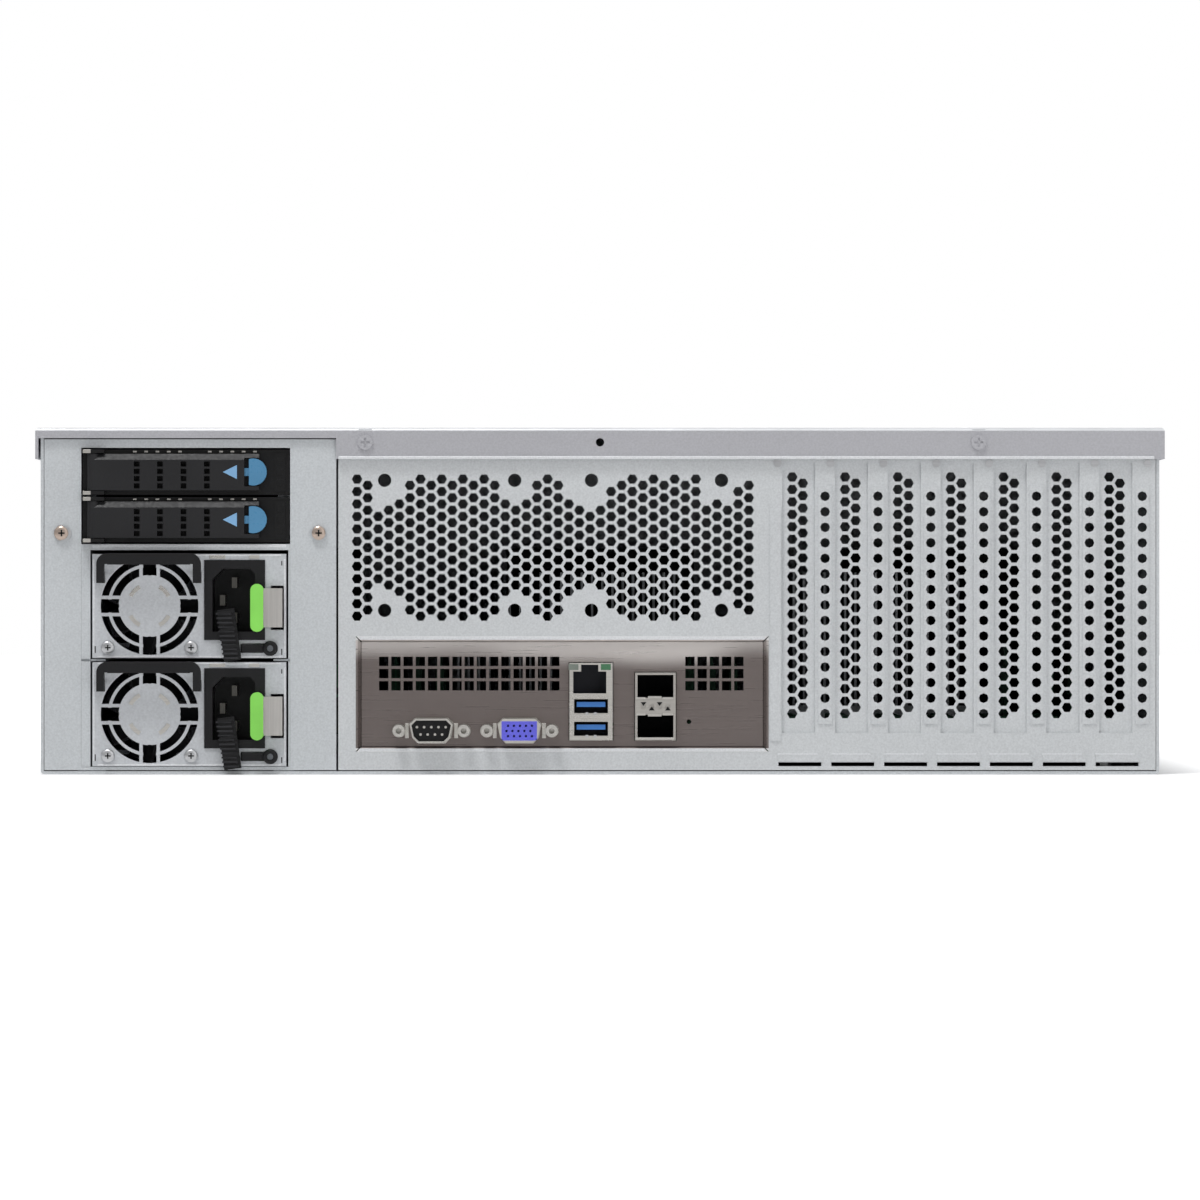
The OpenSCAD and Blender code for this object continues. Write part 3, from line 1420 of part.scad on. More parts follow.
module inlet_block() {
    difference() {
        slab(inlet_x0, inlet_x0 + inlet_w, -inlet_out, inlet_d, inlet_z0, inlet_z0 + inlet_h);
        upright(-inlet_out - over, socket_d) translate([inlet_x0 + socket_x0, inlet_z0 + socket_z0])
            polygon([[0, 0], [socket_w, 0], [socket_w, socket_h - socket_corner / 2],
                [socket_w - socket_corner / 2, socket_h], [socket_corner, socket_h],
                [0, socket_h - socket_corner]]);
    }
    for (p = [[0.5, 0.78], [0.5, 0.22], [0.22, 0.5]])
        translate([inlet_x0 + socket_x0 + p[0] * socket_w - pin_w / 2, socket_d - pin_l,
            inlet_z0 + socket_z0 + p[1] * socket_h - pin_h / 2]) cube([pin_w, pin_l, pin_h]);
}

module strap() {
    step = strap_l / strap_ribs;
    translate([inlet_x0 + strap_x, -strap_out, strap_z0]) rotate([0, -strap_tilt, 0]) {
        slab(-strap_w / 2, strap_w / 2, -strap_t, 0, 0, strap_l);
        for (i = [0 : strap_ribs - 1])
            slab(-strap_w / 2, strap_w / 2, -strap_t - strap_rib, -strap_t, (i + 0.25) * step,
                (i + 0.7) * step);
    }
    slab(inlet_x0 + strap_x - strap_w / 2, inlet_x0 + strap_x + strap_w / 3, -strap_out - strap_t / 2, 0,
        strap_t / 2, inlet_z0 / 2);
}

module power_inlet(n) {
    color([0.09, 0.09, 0.1]) in_psu(n) union() {
        inlet_block();
        strap();
    }
}

// Folding handle over the fan guard, shown folded up
bail_bar_h = 4.4;
bail_bar_t = 4;
bail_arm_t = 3;
bail_corner = 4.2;

module psu_handle(n) {
    top_z = psu_h - bail_pivot_z + bail_r / 4;
    y0 = -rear_reach + psu_out + bail_pivot_out;
    color([0.2, 0.2, 0.21]) in_psu(n) translate([guard_x, -bail_pivot_out, bail_pivot_z]) union() {
        upright(y0, y0 + bail_bar_t) {
            area(bail_corner - bail_w / 2, bail_w / 2 - bail_corner, top_z - bail_bar_h, top_z);
            for (s = [-1, 1])
                translate([s * (bail_w / 2 - bail_corner), top_z - bail_corner]) intersection() {
                    circle(r = bail_corner);
                    translate([s * (bail_corner - fit_gap) / 2, bail_corner / 2])
                        square([bail_corner + fit_gap, bail_corner], center = true);
                }
        }
        for (s = [-1, 1])
            translate([s * (bail_w - bail_arm_t) / 2, 0, 0]) {
                slab(-bail_arm_t / 2, bail_arm_t / 2, y0, y0 + bail_bar_t, 0,
                    top_z - bail_corner + fit_gap);
                slab(-bail_arm_t / 2, bail_arm_t / 2, y0, bail_r, -bail_r * 2, bail_r);
                translate([-bail_arm_t / 2, 0, 0]) rotate([0, 90, 0])
                    cylinder(h = bail_arm_t, r = 2 * bail_r);
            }
        translate([-bail_w / 2 - ear_plate_t, 0, 0]) rotate([0, 90, 0])
            cylinder(h = ear_plate_t + bail_arm_t, r = bail_r);
        translate([bail_w / 2 - bail_arm_t, 0, 0]) rotate([0, 90, 0])
            cylinder(h = ear_plate_t + bail_arm_t, r = bail_r);
    }
}

// Spring latch: a metal strip inside the right wall, a tab in the window and a pad to press
latch_t = 0.8;
latch_h = 15;
pad_w = psu_w * 0.067;
pad_out = 7.4;
pad_h = 18.4;
tab_out = 3;
tab_w = psu_w * 0.0953;

module psu_latch(n) {
    z0 = window_z0 + (window_h - latch_h) / 2;
    x0 = latch_x1 - tab_w;
    color([0.5, 0.8, 0.32]) in_psu(n) translate([0, 0, z0]) difference() {
        union() {
            slab(latch_x1 - latch_t, latch_x1, -tab_out, latch_arm, 0, latch_h);
            slab(x0 - pad_w / 2, latch_x1, -tab_out, -tab_out + latch_t, 0, latch_h);
            upright(-pad_out, -tab_out + latch_t) translate([x0 - pad_w / 2, latch_h / 2]) {
                square([pad_w, pad_h - pad_w], center = true);
                for (s = [-1, 1]) translate([0, s * (pad_h - pad_w) / 2]) circle(r = pad_w / 2);
            }
            translate([latch_x1 - latch_r, latch_arm, 0]) cylinder(h = latch_h, r = latch_r);
        }
        translate([latch_x1 - latch_r, latch_arm, -over])
            cylinder(h = latch_h + 2 * over, r = latch_bore_r + pin_clear);
    }
}

// Rack ears: angled plates at the front with open slots, and the handles on them
ear_leg_d = 60;
ear_leg_t = 1.6;
ear_z0 = fit_gap;
ear_z1 = case_h - fit_gap;
ear_skirt_gap = 1;

module ear_slot() {
    length = ear_slot_l - 2 * ear_slot_r;
    square([length, 2 * ear_slot_r], center = true);
    for (s = [-1, 1]) translate([s * length / 2, 0]) circle(r = ear_slot_r);
}

module rack_ear() {
    mid_z = case_h / 2;
    union() {
        upright(front_y - ear_t, front_y) difference() {
            area(right_x, right_x + ear_w, ear_z0, ear_z1);
            for (s = [-1, 1])
                translate([right_x + ear_w - ear_slot_edge, mid_z + s * ear_slot_pitch / 2]) ear_slot();
        }
        slab(right_x, right_x + ear_leg_t, front_y - ear_leg_d, front_y - ear_t, ear_z0,
            flange_z0 - ear_skirt_gap);
    }
}

module rack_ears() {
    color([0.72, 0.73, 0.75]) {
        rack_ear();
        mirror([1, 0, 0]) rack_ear();
    }
}

grip_bend = 8;
grip_inset = 8;

module grip() {
    x = right_x + grip_inset;
    mid_z = case_h / 2;
    leg = grip_reach - grip_bend - grip_r;
    translate([x, front_y, mid_z]) union() {
        for (s = [-1, 1]) {
            bar_y(0, s * grip_span / 2, 0, leg, grip_r);
            translate([0, leg, s * (grip_span / 2 - grip_bend)])
                rotate([0, 0, 90]) rotate([90 - 90 * s, 0, 0]) rotate([90, 0, 0])
                    rotate_extrude(angle = 90) translate([grip_bend, 0]) circle(r = grip_r);
        }
        translate([0, grip_reach - grip_r, -grip_span / 2 + grip_bend])
            cylinder(h = grip_span - 2 * grip_bend, r = grip_r);
    }
}

module ear_handles() {
    color([0.2, 0.2, 0.21]) {
        grip();
        mirror([1, 0, 0]) grip();
    }
}

// Front panel above the drive bays: an intake grille, with the control panel at its right
front_z0 = cage_z1;
front_z1 = wall_z1 - sheet - fit_gap;
control_w = 62;
control_h = 44;
control_t = 16;
control_x0 = in_x0 + wall_flange_w + 2;
control_z0 = (front_z0 + front_z1 - control_h) / 2;
grille_margin = 8;
grille_x0 = control_x0 + control_w + grille_margin;
grille_x1 = in_x1 - grille_margin;
grille_cols = floor((grille_x1 - grille_x0) / (2 * vent_step));
grille_rows = floor((front_z1 - front_z0 - 2 * grille_margin) / (1.5 * vent_pitch));

module front_panel() {
    color([0.16, 0.16, 0.17]) upright(front_y - panel_t, front_y) difference() {
        area(in_x0, in_x1, front_z0, case_h - fit_gap);
        area(control_x0 - fit_gap, control_x0 + control_w + fit_gap, control_z0 - fit_gap,
            control_z0 + control_h + fit_gap);
        for (i = [0 : grille_cols - 1])
            for (j = [0 : grille_rows - 1])
                translate([grille_x0 + (i + 0.5) * 2 * vent_step,
                    front_z0 + grille_margin + (j + 0.5 + (i % 2) / 2) * 1.5 * vent_pitch])
                    circle(r = 1.6 * hex_r, $fn = 6);
    }
}

// Control panel with its two buttons, indicator lights and two sockets
power_x = control_x0 + 14;
power_z = control_z0 + control_h * 0.68;
power_r = 6;
reset_x = control_x0 + 14;
reset_z = control_z0 + control_h * 0.25;
reset_r = 2.5;
button_travel = 1.5;
button_out = 1.5;
button_t = 7;
control_light_r = 1.2;
control_out = 2;
control_rim = 3;
control_rim_t = 1.5;
button_bore = button_t + button_travel + slide_gap;

module control_panel() {
    y1 = front_y + control_out;
    rim_y1 = front_y - panel_t;
    color([0.12, 0.12, 0.13]) difference() {
        union() {
            slab(control_x0, control_x0 + control_w, y1 - control_t, y1, control_z0, control_z0 + control_h);
            slab(control_x0 - control_rim, control_x0 + control_w + control_rim, rim_y1 - control_rim_t,
                rim_y1, control_z0 - control_rim, control_z0 + control_h + control_rim);
        }
        bar_y(power_x, power_z, y1 - button_bore, y1 + over, power_r + slide_gap);
        bar_y(reset_x, reset_z, y1 - button_bore, y1 + over, reset_r + slide_gap);
        for (i = [0 : 4])
            bar_y(control_x0 + control_w / 2, control_z0 + (i + 1) * control_h / 6, y1 - control_out,
                y1 + over, control_light_r);
        for (s = [-1, 1])
            translate([control_x0 + control_w * 0.78 - usb_h / 2, y1 - control_t * 0.9,
                control_z0 + control_h / 2 + s * control_h / 4 - usb_w / 2]) cube([usb_h, control_t, usb_w]);
    }
}

module power_button() {
    y1 = front_y + control_out;
    color([0.3, 0.31, 0.33]) bar_y(power_x, power_z, y1 - button_t, y1 + button_out, power_r);
}

module reset_button() {
    y1 = front_y + control_out;
    color([0.3, 0.31, 0.33]) bar_y(reset_x, reset_z, y1 - button_t, y1 + button_out / 3, reset_r);
}

base_tray();
top_cover();
rear_panel();
psu_bay_plate();
io_shield();
slot_covers();
chassis_screws();
motherboard();
cpu_coolers();
memory_modules();
serial_port();
vga_port();
lan_usb_stack();
sfp_cage();
fan_wall();
fan_frames();
backplanes();
front_bay_cage();
rear_bay_cage();
rack_ears();
ear_handles();
front_panel();
control_panel();
power_button();
reset_button();
fan_rotor(0);  // fan_rotor_1
fan_rotor(1);  // fan_rotor_2
fan_rotor(2);  // fan_rotor_3
drive_carrier(0);  // drive_carrier_1
drive_carrier(1);  // drive_carrier_2
drive_carrier(2);  // drive_carrier_3
drive_carrier(3);  // drive_carrier_4
drive_carrier(4);  // drive_carrier_5
drive_carrier(5);  // drive_carrier_6
drive_carrier(6);  // drive_carrier_7
drive_carrier(7);  // drive_carrier_8
carrier_lever(0);  // carrier_lever_1
carrier_lever(1);  // carrier_lever_2
carrier_lever(2);  // carrier_lever_3
carrier_lever(3);  // carrier_lever_4
carrier_lever(4);  // carrier_lever_5
carrier_lever(5);  // carrier_lever_6
carrier_lever(6);  // carrier_lever_7
carrier_lever(7);  // carrier_lever_8
rear_tray(0);  // rear_tray_1
rear_tray(1);  // rear_tray_2
rear_lever(0);  // rear_lever_1
rear_lever(1);  // rear_lever_2
rear_catch(0);  // rear_catch_1
rear_catch(1);  // rear_catch_2
psu_module(0);  // psu_module_1
psu_module(1);  // psu_module_2
power_inlet(0);  // power_inlet_1
power_inlet(1);  // power_inlet_2
psu_rotor(0);  // psu_rotor_1
psu_rotor(1);  // psu_rotor_2
psu_handle(0);  // psu_handle_1
psu_handle(1);  // psu_handle_2
psu_latch(0);  // psu_latch_1
psu_latch(1);  // psu_latch_2
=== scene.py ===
import math

import bpy
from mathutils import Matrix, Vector


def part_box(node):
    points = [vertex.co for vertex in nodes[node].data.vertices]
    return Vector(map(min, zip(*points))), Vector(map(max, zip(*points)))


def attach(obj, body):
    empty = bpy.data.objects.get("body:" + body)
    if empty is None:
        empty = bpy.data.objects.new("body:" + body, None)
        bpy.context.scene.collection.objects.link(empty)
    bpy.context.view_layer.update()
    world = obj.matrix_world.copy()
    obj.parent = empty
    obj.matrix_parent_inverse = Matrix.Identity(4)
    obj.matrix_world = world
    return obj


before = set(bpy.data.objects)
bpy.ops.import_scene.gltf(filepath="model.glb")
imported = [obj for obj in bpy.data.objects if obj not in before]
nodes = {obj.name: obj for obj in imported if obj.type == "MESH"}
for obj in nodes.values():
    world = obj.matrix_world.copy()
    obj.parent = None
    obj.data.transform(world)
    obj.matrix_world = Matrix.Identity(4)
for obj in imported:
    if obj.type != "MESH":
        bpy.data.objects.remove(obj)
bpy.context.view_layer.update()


def inputs(shader, **values):
    """Sets the inputs of a shader node by name, with underscores for spaces."""
    for name, value in values.items():
        shader.inputs[name.replace("_", " ")].default_value = value


def linear(value):
    """A display value from 0 to 255, as a linear value."""
    share = value / 255
    return ((share + 0.055) / 1.055) ** 2.4 if value > 10 else share / 12.92


def srgb(*color):
    """A colour given as 0 to 255 in display values, as linear values."""
    return tuple(linear(value) for value in color) + (1.0,)


def shade(color, factor):
    """A colour made lighter or darker by a factor."""
    return tuple(min(1.0, value * factor) for value in color[:3]) + (1.0,)


# Sockets of a Mix node for colours and for single values: the first input, the second input and the result
COLOR_MIX = (6, 7, 2)
VALUE_MIX = (2, 3, 0)


class Graph:
    """A material's node tree with short ways to add and join nodes."""

    def __init__(self, name):
        self.material = bpy.data.materials.new(name)
        self.material.use_nodes = True
        self.tree = self.material.node_tree
        self.shader = self.tree.nodes["Principled BSDF"]
        self.place = self.tree.nodes.new("ShaderNodeTexCoord").outputs["Object"]

    def add(self, kind, **settings):
        node = self.tree.nodes.new(kind)
        for name, value in settings.items():
            setattr(node, name, value)
        return node

    def join(self, output, target):
        self.tree.links.new(output, target)

    def scaled(self, x, y, z):
        """The place on the object, stretched along each axis."""
        mapping = self.add("ShaderNodeMapping")
        mapping.inputs["Scale"].default_value = (x, y, z)
        self.join(self.place, mapping.inputs["Vector"])
        return mapping.outputs["Vector"]

    def noise(self, vector, scale, detail):
        node = self.add("ShaderNodeTexNoise")
        inputs(node, Scale=scale, Detail=detail, Roughness=0.55)
        self.join(vector, node.inputs["Vector"])
        return node.outputs["Fac"]

    def between(self, fac, low, high):
        """Maps 0.3 to 0.7 of a noise to the range from low to high."""
        node = self.add("ShaderNodeMapRange")
        inputs(node, From_Min=0.3, From_Max=0.7, To_Min=low, To_Max=high)
        self.join(fac, node.inputs["Value"])
        return node.outputs["Result"]

    def mixed(self, fac, first, second):
        """Goes from one fixed colour to another as a value goes from 0 to 1."""
        node = self.add("ShaderNodeMix", data_type="RGBA")
        first_in, second_in, result = COLOR_MIX
        node.inputs[first_in].default_value = first
        node.inputs[second_in].default_value = second
        self.join(fac, node.inputs[0])
        return node.outputs[result]

    def toned(self, fac, color, spread):
        """A colour that a noise makes lighter and darker by a spread."""
        return self.mixed(self.between(fac, 0, 1), shade(color, 1 - spread), shade(color, 1 + spread))

    def blended(self, share, first, second):
        """Mixes two colours of the tree, with a fixed share of the second."""
        node = self.add("ShaderNodeMix", data_type="RGBA")
        first_in, second_in, result = COLOR_MIX
        node.inputs[0].default_value = share
        self.join(first, node.inputs[first_in])
        self.join(second, node.inputs[second_in])
        return node.outputs[result]

    def vector(self, operation, first, second=(0, 0, 0)):
        """A step of vector arithmetic, whose second value is fixed."""
        node = self.add("ShaderNodeVectorMath", operation=operation)
        self.join(first, node.inputs[0])
        node.inputs[1].default_value = second
        return node.outputs["Vector"]

    def math(self, operation, first, second):
        """A step of arithmetic, whose second value is a number or an output."""
        node = self.add("ShaderNodeMath", operation=operation)
        self.join(first, node.inputs[0])
        if isinstance(second, float):
            node.inputs[1].default_value = second
        else:
            self.join(second, node.inputs[1])
        return node.outputs["Value"]

    def inside(self, *spans):
        """One where the place lies in any of some boxes, each given as x, y and z spans in millimetres."""
        found = []
        for span in spans:
            middle = [(low + high) / 2000 for low, high in span]
            half = [(high - low) / 2000 for low, high in span]
            folded = self.vector("ABSOLUTE", self.vector("SUBTRACT", self.place, middle))
            axes = self.add("ShaderNodeSeparateXYZ")
            self.join(self.vector("SUBTRACT", folded, half), axes.inputs["Vector"])
            worst = self.math("MAXIMUM", axes.outputs["X"], axes.outputs["Y"])
            worst = self.math("MAXIMUM", worst, axes.outputs["Z"])
            found.append(self.math("LESS_THAN", worst, 0.0))
        total = found[0]
        for mask in found[1:]:
            total = self.math("MAXIMUM", total, mask)
        return total

    def patch(self, spans, color, rough, metallic=0.0):
        """Gives the surface inside some boxes another colour, shine and metal look."""
        mask = self.inside(*spans)
        clouds = self.noise(self.place, scale=60, detail=3)
        tone = self.toned(clouds, color, spread=0.08)
        for name, value in (("Base Color", tone), ("Roughness", rough), ("Metallic", metallic)):
            colored = name == "Base Color"
            target = self.shader.inputs[name]
            node = self.add("ShaderNodeMix", data_type="RGBA" if colored else "FLOAT")
            first_in, second_in, result = COLOR_MIX if colored else VALUE_MIX
            if target.links:
                self.join(target.links[0].from_socket, node.inputs[first_in])
            else:
                node.inputs[first_in].default_value = target.default_value
            if colored:
                self.join(value, node.inputs[second_in])
            else:
                node.inputs[second_in].default_value = value
            self.join(mask, node.inputs[0])
            self.join(node.outputs[result], target)

    def bump(self, fac, strength, distance):
        node = self.add("ShaderNodeBump")
        inputs(node, Strength=strength, Distance=distance)
        self.join(fac, node.inputs["Height"])
        self.join(node.outputs["Normal"], self.shader.inputs["Normal"])


def galvanised(name, color, rough, metallic=0.2, spread=0.07):
    """Zinc-coated sheet: soft cloudy flecks, a fine grain and slightly uneven shine."""
    g = Graph(name)
    clouds = g.noise(g.place, scale=14, detail=4)
    flecks = g.noise(g.place, scale=1300, detail=2)
    tone = g.toned(clouds, color, spread)
    grain = g.toned(flecks, color, 2 * spread)
    g.join(g.blended(0.55, tone, grain), g.shader.inputs["Base Color"])
    g.join(g.between(flecks, rough - 0.05, rough + 0.07), g.shader.inputs["Roughness"])
    inputs(g.shader, Metallic=metallic)
    g.bump(flecks, strength=0.12, distance=0.0001)
    return g


def brushed(name, color, along, rough, metallic, spread=0.08):
    """Sheet or plate with drawn lines that run along one axis."""
    g = Graph(name)
    stretch = [260, 260, 260]
    stretch["xyz".index(along)] = 6
    lines = g.noise(g.scaled(*stretch), scale=6, detail=3)
    clouds = g.noise(g.place, scale=18, detail=3)
    g.join(g.toned(lines, color, spread), g.shader.inputs["Base Color"])
    g.join(g.between(clouds, rough - 0.06, rough + 0.08), g.shader.inputs["Roughness"])
    inputs(g.shader, Metallic=metallic)
    g.bump(lines, strength=0.1, distance=0.0001)
    return g


def polished(name, color, painted_reflection):
    """Thin bright sheet that isn't flat: drawn lines, soft waves, and a painted reflection, a light streak
    below its upper edge.
    """
    g = Graph(name)
    upper_edge = box("io_shield")[1].z
    reflection_from = 12
    reflection_full = 3
    wave_reach = 0.016
    lines = g.noise(g.scaled(6, 260, 260), scale=6, detail=3)
    waves = g.noise(g.scaled(1, 1, 1.6), scale=14, detail=2)
    axes = g.add("ShaderNodeSeparateXYZ")
    g.join(g.place, axes.inputs["Vector"])
    shift = g.math("MULTIPLY", g.math("SUBTRACT", waves, 0.5), wave_reach)
    height = g.math("ADD", axes.outputs["Z"], shift)
    # A band below the upper edge, broken up by the waves, where the painted reflection lightens the colour
    reflection_band = g.add("ShaderNodeMapRange", interpolation_type="SMOOTHSTEP")
    inputs(reflection_band, From_Min=(upper_edge - reflection_from) / 1000, From_Max=(upper_edge - reflection_full) / 1000)
    g.join(height, reflection_band.inputs["Value"])
    reflection_share = g.math("MULTIPLY", reflection_band.outputs["Result"], g.between(waves, 0.75, 1))
    tone = g.mixed(reflection_share, color, painted_reflection)
    grain = g.toned(lines, color, spread=0.1)
    g.join(g.blended(0.18, tone, grain), g.shader.inputs["Base Color"])
    g.join(g.between(lines, 0.26, 0.36), g.shader.inputs["Roughness"])
    inputs(g.shader, Metallic=0.6)
    bumpy = g.math("ADD", g.math("MULTIPLY", waves, 8.0), lines)
    g.bump(bumpy, strength=0.12, distance=0.0002)
    return g


def plastic(name, color, rough):
    """Moulded plastic with a fine leather-like grain and faint wear."""
    g = Graph(name)
    clouds = g.noise(g.place, scale=30, detail=3)
    fine = g.noise(g.place, scale=900, detail=2)
    g.join(g.toned(clouds, color, spread=0.12), g.shader.inputs["Base Color"])
    g.join(g.between(fine, rough - 0.06, rough + 0.08), g.shader.inputs["Roughness"])
    g.bump(fine, strength=0.15, distance=0.0001)
    inputs(g.shader, Specular_IOR_Level=0.3)
    return g


def circuit(name, color):
    """Solder-masked board with faint straight tracks."""
    g = Graph(name)
    tracks = g.add("ShaderNodeTexBrick")
    inputs(tracks, Color1=shade(color, 0.85), Color2=shade(color, 1.15), Mortar=shade(color, 1.7),
           Scale=90.0, Mortar_Size=0.02)
    g.join(g.place, tracks.inputs["Vector"])
    clouds = g.noise(g.place, scale=25, detail=3)
    g.join(tracks.outputs["Color"], g.shader.inputs["Base Color"])
    g.join(g.between(clouds, 0.3, 0.45), g.shader.inputs["Roughness"])
    g.bump(tracks.outputs["Fac"], strength=0.1, distance=0.0001)
    return g


def millimetres(x, y, z):
    """A point given in millimetres, in the scene's metres."""
    return Vector((x / 1000, y / 1000, z / 1000))


def box(node):
    """The low and high corners of a CAD node's box, in millimetres."""
    low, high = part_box(node)
    return Vector(low) * 1000, Vector(high) * 1000


def piece(name, points, faces, finish, body, soft=0.0):
    """A mesh from points in millimetres, which rides on a body. Its edges can be softened by a width."""
    mesh = bpy.data.meshes.new(name)
    mesh.from_pydata([millimetres(*p) for p in points], [], faces)
    mesh.materials.append(finish.material)
    mesh.update()
    obj = bpy.data.objects.new(name, mesh)
    bpy.context.scene.collection.objects.link(obj)
    if soft:
        bevel = obj.modifiers.new("bevel", "BEVEL")
        bevel.width = soft / 1000
        bevel.segments = 2
    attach(obj, body)
    return obj


# Faces of a box whose corners run through x, then y, then z
BOX_FACES = [(0, 1, 3, 2), (4, 6, 7, 5), (0, 4, 5, 1), (2, 3, 7, 6), (0, 2, 6, 4), (1, 5, 7, 3)]


def boxes(name, spans, finish, body, soft=0.0):
    """Several boxes as one mesh, each given as its x, y and z spans in millimetres."""
    points, faces = [], []
    for xs, ys, zs in spans:
        first = len(points)
        points += [(x, y, z) for x in xs for y in ys for z in zs]
        faces += [tuple(first + i for i in face) for face in BOX_FACES]
    return piece(name, points, faces, finish, body, soft)


# How far a patch of another colour reaches past its surface, on a large face and on a socket's walls
outer = 1
over = 0.1

# Places that the materials and details are worked out from, in millimetres
lid_low, lid_high = box("top_cover")
plate_low, plate_high = box("psu_bay_plate")
shield_low, shield_high = box("io_shield")
serial_low, serial_high = box("serial_port")
vga_low, vga_high = box("vga_port")
stack_low, stack_high = box("lan_usb_stack")
sfp_low, sfp_high = box("sfp_cage")
psu_low, psu_high = box("psu_module_1")
rear_y = lid_low.y
back_y = plate_low.y
case_x = (lid_low.x - outer, lid_high.x + outer)
case_z = (0, lid_high.z)

# Size of the shell of a small connector, its wall, and the height of its middle below the body's top
dsub_w = 16.6
dsub_h = 9.4
dsub_wall = 0.7
dsub_drop = 6.2

# The socket stack: its middle, the height of its foot, the network socket and the serial bus sockets
stack_x = (stack_low.x + stack_high.x) / 2
board_z = stack_low.z
jack_x = stack_x - 0.5
jack_w = 12.7
jack_z0 = board_z + 20.7
jack_h = 8.4
jack_notch_w = 6.6
jack_notch_h = 2.6
usb_w = 13
usb_h = 5.4
usb_z = [board_z + 4.4, board_z + 13.1]
tongue_w = 11
tongue_rise = 2.4
tongue_h = 1.9

# The optical cage: its nose, and the strip between its cavities
sfp_x = (sfp_low.x + sfp_high.x) / 2
sfp_w = sfp_high.x - sfp_low.x
sfp_wall = 0.9
sfp_nose_h = 25.9
sfp_cavity_h = 8.8
strip_z = sfp_high.z - sfp_nose_h / 2
strip_h = sfp_nose_h - 2 * (sfp_cavity_h + sfp_wall)

# The power modules: their pitch, the inlet's socket and pins, and the latch pad's edge
module_numbers = (1, 2)
psu_x0 = psu_low.x
psu_pitch = box("psu_module_2")[0].z - psu_low.z
socket = (46.2, 10.1)
socket_size = (16.4, 24.2)
pin_places = [(0.5, 0.78), (0.5, 0.22), (0.22, 0.5)]
pin_size = (2, 4)
pin_depth = (1, 16)
pad_edge = 66


def around(x, z, w, h, y0, y1):
    """The spans of a box from its middle in x and z, its width and height, and its reach in y."""
    return (x - w / 2, x + w / 2), (y0, y1), (z - h / 2, z + h / 2)


def psu_span(n, xs, zs, y0, y1):
    """Spans given from the corner of power module n, as spans of the frame."""
    low = psu_low.z + (n - 1) * psu_pitch
    return (psu_x0 + xs[0], psu_x0 + xs[1]), (y0, y1), (low + zs[0], low + zs[1])


def pin_span(n, u, v):
    """The spans of a pin in the inlet of power module n, from its place in the socket as shares."""
    x = socket[0] + u * socket_size[0]
    z = socket[1] + v * socket_size[1]
    half_w = (pin_size[0] + over) / 2
    half_h = (pin_size[1] + over) / 2
    return psu_span(n, (x - half_w, x + half_w), (z - half_h, z + half_h),
                    back_y + pin_depth[0], back_y + pin_depth[1])


# Materials of the CAD nodes and of the details
bright_steel = srgb(214, 211, 205)
drive_steel = srgb(186, 188, 190)
plate_steel = galvanised("plate_steel", srgb(205, 209, 212), 0.4)
panel_steel = galvanised("panel_steel", srgb(209, 212, 214), 0.42)
cover_steel = galvanised("cover_steel", srgb(186, 186, 191), 0.38, 0.3, 0.06)
# The shield's second, near-white colour is the painted reflection in the streak below its upper edge
shield_metal = polished("shield_metal", srgb(122, 113, 110), srgb(240, 234, 230))
bright_metal = brushed("bright_metal", bright_steel, "x", 0.28, 0.85)
zinc = brushed("zinc", srgb(205, 206, 208), "x", 0.3, 0.8)
fin_metal = brushed("fin_metal", srgb(200, 203, 206), "z", 0.32, 0.8)
board_green = circuit("board_green", srgb(30, 84, 56))
black_plastic = plastic("black_plastic", srgb(24, 24, 26), 0.4)
dark_plastic = plastic("dark_plastic", srgb(34, 34, 36), 0.45)
deep_black = plastic("deep_black", srgb(14, 14, 15), 0.6)
catch_blue = plastic("catch_blue", srgb(84, 138, 176), 0.3)
mark_blue = plastic("mark_blue", srgb(130, 175, 215), 0.45)
psu_steel = galvanised("psu_steel", srgb(203, 206, 210), 0.4)
# A lighter copy of the sheet steel, for painted highlights on bends and edges
highlight_steel = galvanised("highlight_steel", srgb(226, 228, 231), 0.36)
copper_zinc = brushed("copper_zinc", srgb(196, 178, 165), "x", 0.3, 0.8)
rib_black = plastic("rib_black", srgb(44, 44, 47), 0.35)
light_grey = plastic("light_grey", srgb(118, 126, 118), 0.3)
light_green = plastic("light_green", srgb(74, 120, 88), 0.3)
front_black = plastic("front_black", srgb(40, 41, 44), 0.38)
button_grey = plastic("button_grey", srgb(96, 99, 104), 0.4)
handle_metal = brushed("handle_metal", srgb(62, 63, 66), "z", 0.35, 0.7)

# The two small connectors, whose insert lies inside the shell
serial_x = (serial_low.x + serial_high.x) / 2
serial_z = serial_high.z - dsub_drop
vga_x = (vga_low.x + vga_high.x) / 2
vga_z = vga_high.z - dsub_drop
insert_w = dsub_w - 2 * dsub_wall
insert_h = dsub_h - 2 * dsub_wall
vga_rim_w = 1.6
vga_rim_h = 0.6
serial_metal = brushed("serial_metal", bright_steel, "x", 0.28, 0.85)
vga_metal = brushed("vga_metal", bright_steel, "x", 0.28, 0.85)
vga_metal.patch([around(vga_x, vga_z, insert_w - vga_rim_w, insert_h - vga_rim_h,
                        vga_low.y - outer, vga_high.y)], srgb(100, 100, 222), 0.4)
